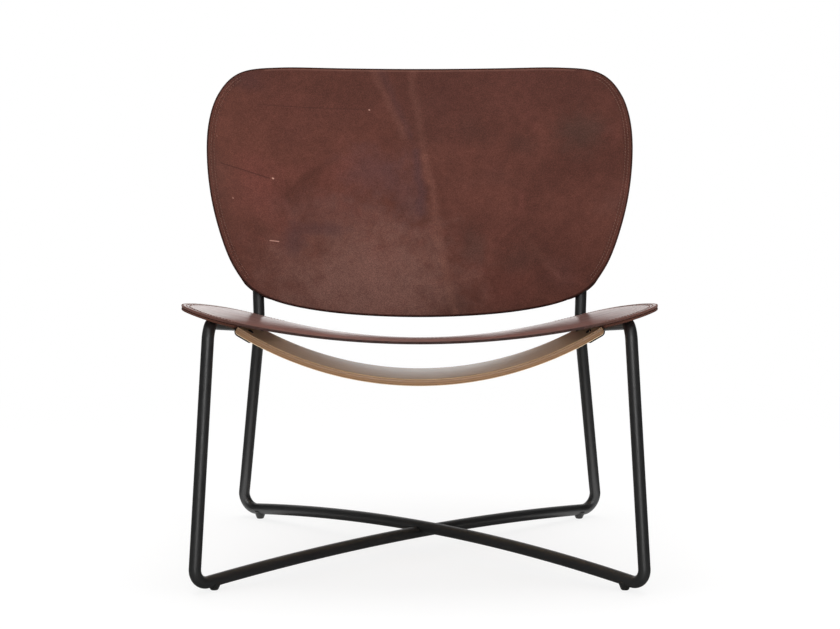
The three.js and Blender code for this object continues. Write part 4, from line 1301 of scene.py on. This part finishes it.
def keeper_strap(word, side):
    """A leather strap: flange, half round under the rail, flange, carried along the rail."""
    half = STRAP_THICK / 2.0
    rear = STRAP_FRONT + STRAP_LENGTH
    slope = 2.0 * SEAT_SAG / rail_at(rear)[0]
    under_plies = seat_lift(STRAP_FRONT) - 2.0 * PLY - PLY_GAP
    level = under_plies / math.hypot(1.0, slope) - STRAP_PLY_GAP - half
    radius = TUBE_RADIUS + STRAP_RAIL_GAP + half
    turn = np.linspace(0.0, -math.pi, 25)
    arc = radius * np.stack([np.cos(turn), np.sin(turn)], -1)
    out = np.stack([np.linspace(STRAP_REACH, radius + 1.5, 8), np.full(8, level)], -1)
    rise = np.array([[radius + 0.4, level - 0.4], [radius, level - 1.6]])
    line = np.concatenate([out, rise, arc, rise[::-1] * [-1, 1], out[::-1] * [-1, 1]])
    ahead = np.gradient(line, axis=0)
    normal = unit(np.stack([ahead[:, 1], -ahead[:, 0]], -1))
    section = np.concatenate([line + normal * half, (line - normal * half)[::-1]])
    spine = np.concatenate([line, line[::-1]])
    along_way = unit(RAIL_REAR - RAIL_FRONT) * [side, 1.0, 1.0]
    across = unit(np.array([1.0, 0.0, side * slope]))
    up_way = unit(np.cross(across, along_way))
    outward = unit(np.cross(along_way, up_way))
    start = mirror(RAIL_FRONT + (RAIL_REAR - RAIL_FRONT) * rear / RAIL_REAR[1], side)
    from_end, drawn_in = np.array([0.0, 0.25, 0.8]), np.array([0.75, 0.35, 0.08])
    even = np.linspace(2.0, STRAP_LENGTH - 2.0, 12)
    depth = np.concatenate([from_end, even, STRAP_LENGTH - from_end[::-1]])[:, None, None]
    shrink = np.concatenate([drawn_in, 0.0 * even, drawn_in[::-1]])[:, None, None]
    shaped = section + (spine - section) * shrink / half
    points = start + shaped[..., :1] * outward + shaped[..., 1:] * up_way - depth * along_way
    rows, columns = points.shape[:2]
    strip = np.arange(len(line) - 1)
    cap = np.stack([strip, strip + 1, columns - 2 - strip, columns - 1 - strip], -1)
    skin = grid_faces(rows, columns, close_columns=True)
    edge = np.zeros((rows, columns))
    edge[:3] = edge[-3:] = 1.0
    make_piece(
        f"keeper_strap_{word}",
        to_row(points.reshape(-1, 3)),
        [skin, cap[:, ::-1], cap + (rows - 1) * columns],
        strap_leather,
        "saddle_leather",
        f"seat_keeper_{word}",
        edge=edge.ravel(),
    )


keeper_strap("left", -1.0)
keeper_strap("right", 1.0)


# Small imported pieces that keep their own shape

for label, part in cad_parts.items():
    if label.startswith(("glide", "upright_plug")):
        finish = black_plastic
    elif label.startswith(("bow_plate", "bow_screw", "keeper_rivet")):
        finish = fitting_steel
    else:
        continue
    part.data.materials.clear()
    part.data.materials.append(finish)


# Studio


FLOOR_REACH = 40.0
# The floor's two strips in gloss: off the middle, the fades of their sides and of their front end
STRIP_OFF_MIDDLE = 0.295
STRIP_SIDE = (0.02, 0.09)
STRIP_FRONT = (-0.12, -0.02)


def build_floor():
    """A wide pale floor that shows white to the camera and keeps soft shadows.

    In gloss it is dim under the chair, apart from two strips in front of the rear feet, which
    give the rear legs the light line down their middle.
    """
    mesh = bpy.data.meshes.new("studio_floor")
    signs = ((-1, -1), (1, -1), (1, 1), (-1, 1))
    corners = [(x * FLOOR_REACH, y * FLOOR_REACH, 0.0) for x, y in signs]
    mesh.from_pydata(corners, [], [(0, 1, 2, 3)])
    floor = bpy.data.objects.new("studio_floor", mesh)
    bpy.context.scene.collection.objects.link(floor)
    material, tree, surface = start_material("studio_floor_white")
    rays = node(tree, "ShaderNodeLightPath").outputs
    glossy = rays["Is Glossy Ray"]
    place = object_place(tree)
    spot = node(tree, "ShaderNodeSeparateXYZ", {0: place}).outputs
    across = maths(tree, "SUBTRACT", maths(tree, "ABSOLUTE", spot["X"]), STRIP_OFF_MIDDLE)
    strip = remap(tree, maths(tree, "ABSOLUTE", across), *STRIP_SIDE, 1.0, 0.0)
    strip = maths(tree, "MULTIPLY", strip, remap(tree, spot["Y"], *STRIP_FRONT))
    pale = mix(tree, glossy, 0.9, remap(tree, strip, 0.0, 1.0, 0.24, 1.0))
    connect(tree, surface, Base_Color=pale, Roughness=1.0, Specular_IOR_Level=0.0)
    level = mix(tree, glossy, 1.0, remap(tree, strip, 0.0, 1.0, 0.16, 1.3))
    glow = node(tree, "ShaderNodeEmission", {"Color": (1, 1, 1, 1), "Strength": level})
    direct = maths(tree, "MAXIMUM", rays["Is Camera Ray"], glossy)
    direct = maths(tree, "MAXIMUM", direct, rays["Is Transmission Ray"])
    away = vector_maths(tree, "LENGTH", place)
    seen = remap(tree, away, 0.5, 1.9, 0.8, 1.0)
    strip_share = maths(tree, "MULTIPLY", strip, 0.6)
    mirrored = maths(tree, "MAXIMUM", remap(tree, away, 0.2, 0.75), strip_share)
    share = maths(tree, "MULTIPLY", direct, mix(tree, glossy, seen, mirrored))
    inputs = {0: share, 1: surface.outputs[0], 2: glow.outputs[0]}
    mixed = node(tree, "ShaderNodeMixShader", inputs)
    tree.links.new(mixed.outputs[0], tree.nodes["Material Output"].inputs["Surface"])
    mesh.materials.append(material)


def build_world():
    """White all round for the camera; gloss sees a dim room on the front side."""
    world = bpy.data.worlds.new("studio")
    world.use_nodes = True
    tree = world.node_tree
    rays = node(tree, "ShaderNodeLightPath").outputs
    towards = node(tree, "ShaderNodeTexCoord").outputs["Generated"]
    way = node(tree, "ShaderNodeSeparateXYZ", {0: towards}).outputs
    sides = remap(tree, way["X"], -1.0, 1.0, 0.12, 0.05)
    room = maths(tree, "ADD", sides, remap(tree, way["Z"], 0.72, 0.9, 0.0, 0.75))
    backdrop = remap(tree, way["X"], -0.07, 0.07, 1.24, 0.8)
    level = mix(tree, remap(tree, way["Y"], 0.68, 0.88), room, backdrop)
    lit = remap(tree, way["Y"], 0.4, 0.9, 0.36, 1.3)
    base = tree.nodes["Background"]
    fill(tree, base, {"Color": (1, 1, 1, 1), "Strength": lit})
    gloss = node(tree, "ShaderNodeBackground", {"Color": (1, 1, 1, 1), "Strength": level})
    white = node(tree, "ShaderNodeBackground", {"Color": (1, 1, 1, 1), "Strength": 1.0})
    glossy = maths(tree, "MAXIMUM", rays["Is Glossy Ray"], rays["Is Transmission Ray"])
    inputs = {0: glossy, 1: base.outputs[0], 2: gloss.outputs[0]}
    first = node(tree, "ShaderNodeMixShader", inputs)
    inputs = {0: rays["Is Camera Ray"], 1: first.outputs[0], 2: white.outputs[0]}
    second = node(tree, "ShaderNodeMixShader", inputs)
    tree.links.new(second.outputs[0], tree.nodes["World Output"].inputs["Surface"])
    bpy.context.scene.world = world


def softbox(name, place, aim, size, power, in_gloss):
    """A rectangular lamp that looks at a point, seen or not seen in gloss."""
    data = bpy.data.lights.new(name, "AREA")
    data.shape = "RECTANGLE"
    data.size, data.size_y = size
    data.energy = power
    lamp = bpy.data.objects.new(name, data)
    lamp.location = place
    way = unit(np.subtract(aim, place))
    lamp.rotation_euler = (math.acos(-way[2]), 0.0, math.atan2(-way[0], way[1]))
    lamp.visible_glossy = in_gloss
    bpy.context.scene.collection.objects.link(lamp)


build_floor()
build_world()
# Place, aim, size, power, and whether gloss shows the lamp
lamps = {
    "front_strip": ((0.1, -4.0, 1.0), (0.0, 0.0, 1.0), (0.7, 2.0), 56.0, True),
    "front_high": ((0.0, -2.4, 3.0), (0.0, 0.2, 0.6), (1.8, 1.2), 11.0, True),
    "overhead": ((0.0, 0.25, 3.0), (0.0, 0.0, 0.3), (3.0, 2.0), 76.0, False),
    "left_fill": ((-3.0, -0.9, 0.5), (0.0, 0.0, 0.3), (1.6, 0.9), 32.0, False),
    "right_fill": ((3.0, -0.9, 0.5), (0.0, 0.0, 0.3), (1.6, 0.9), 32.0, False),
}
for label, settings in lamps.items():
    softbox(label, *settings)
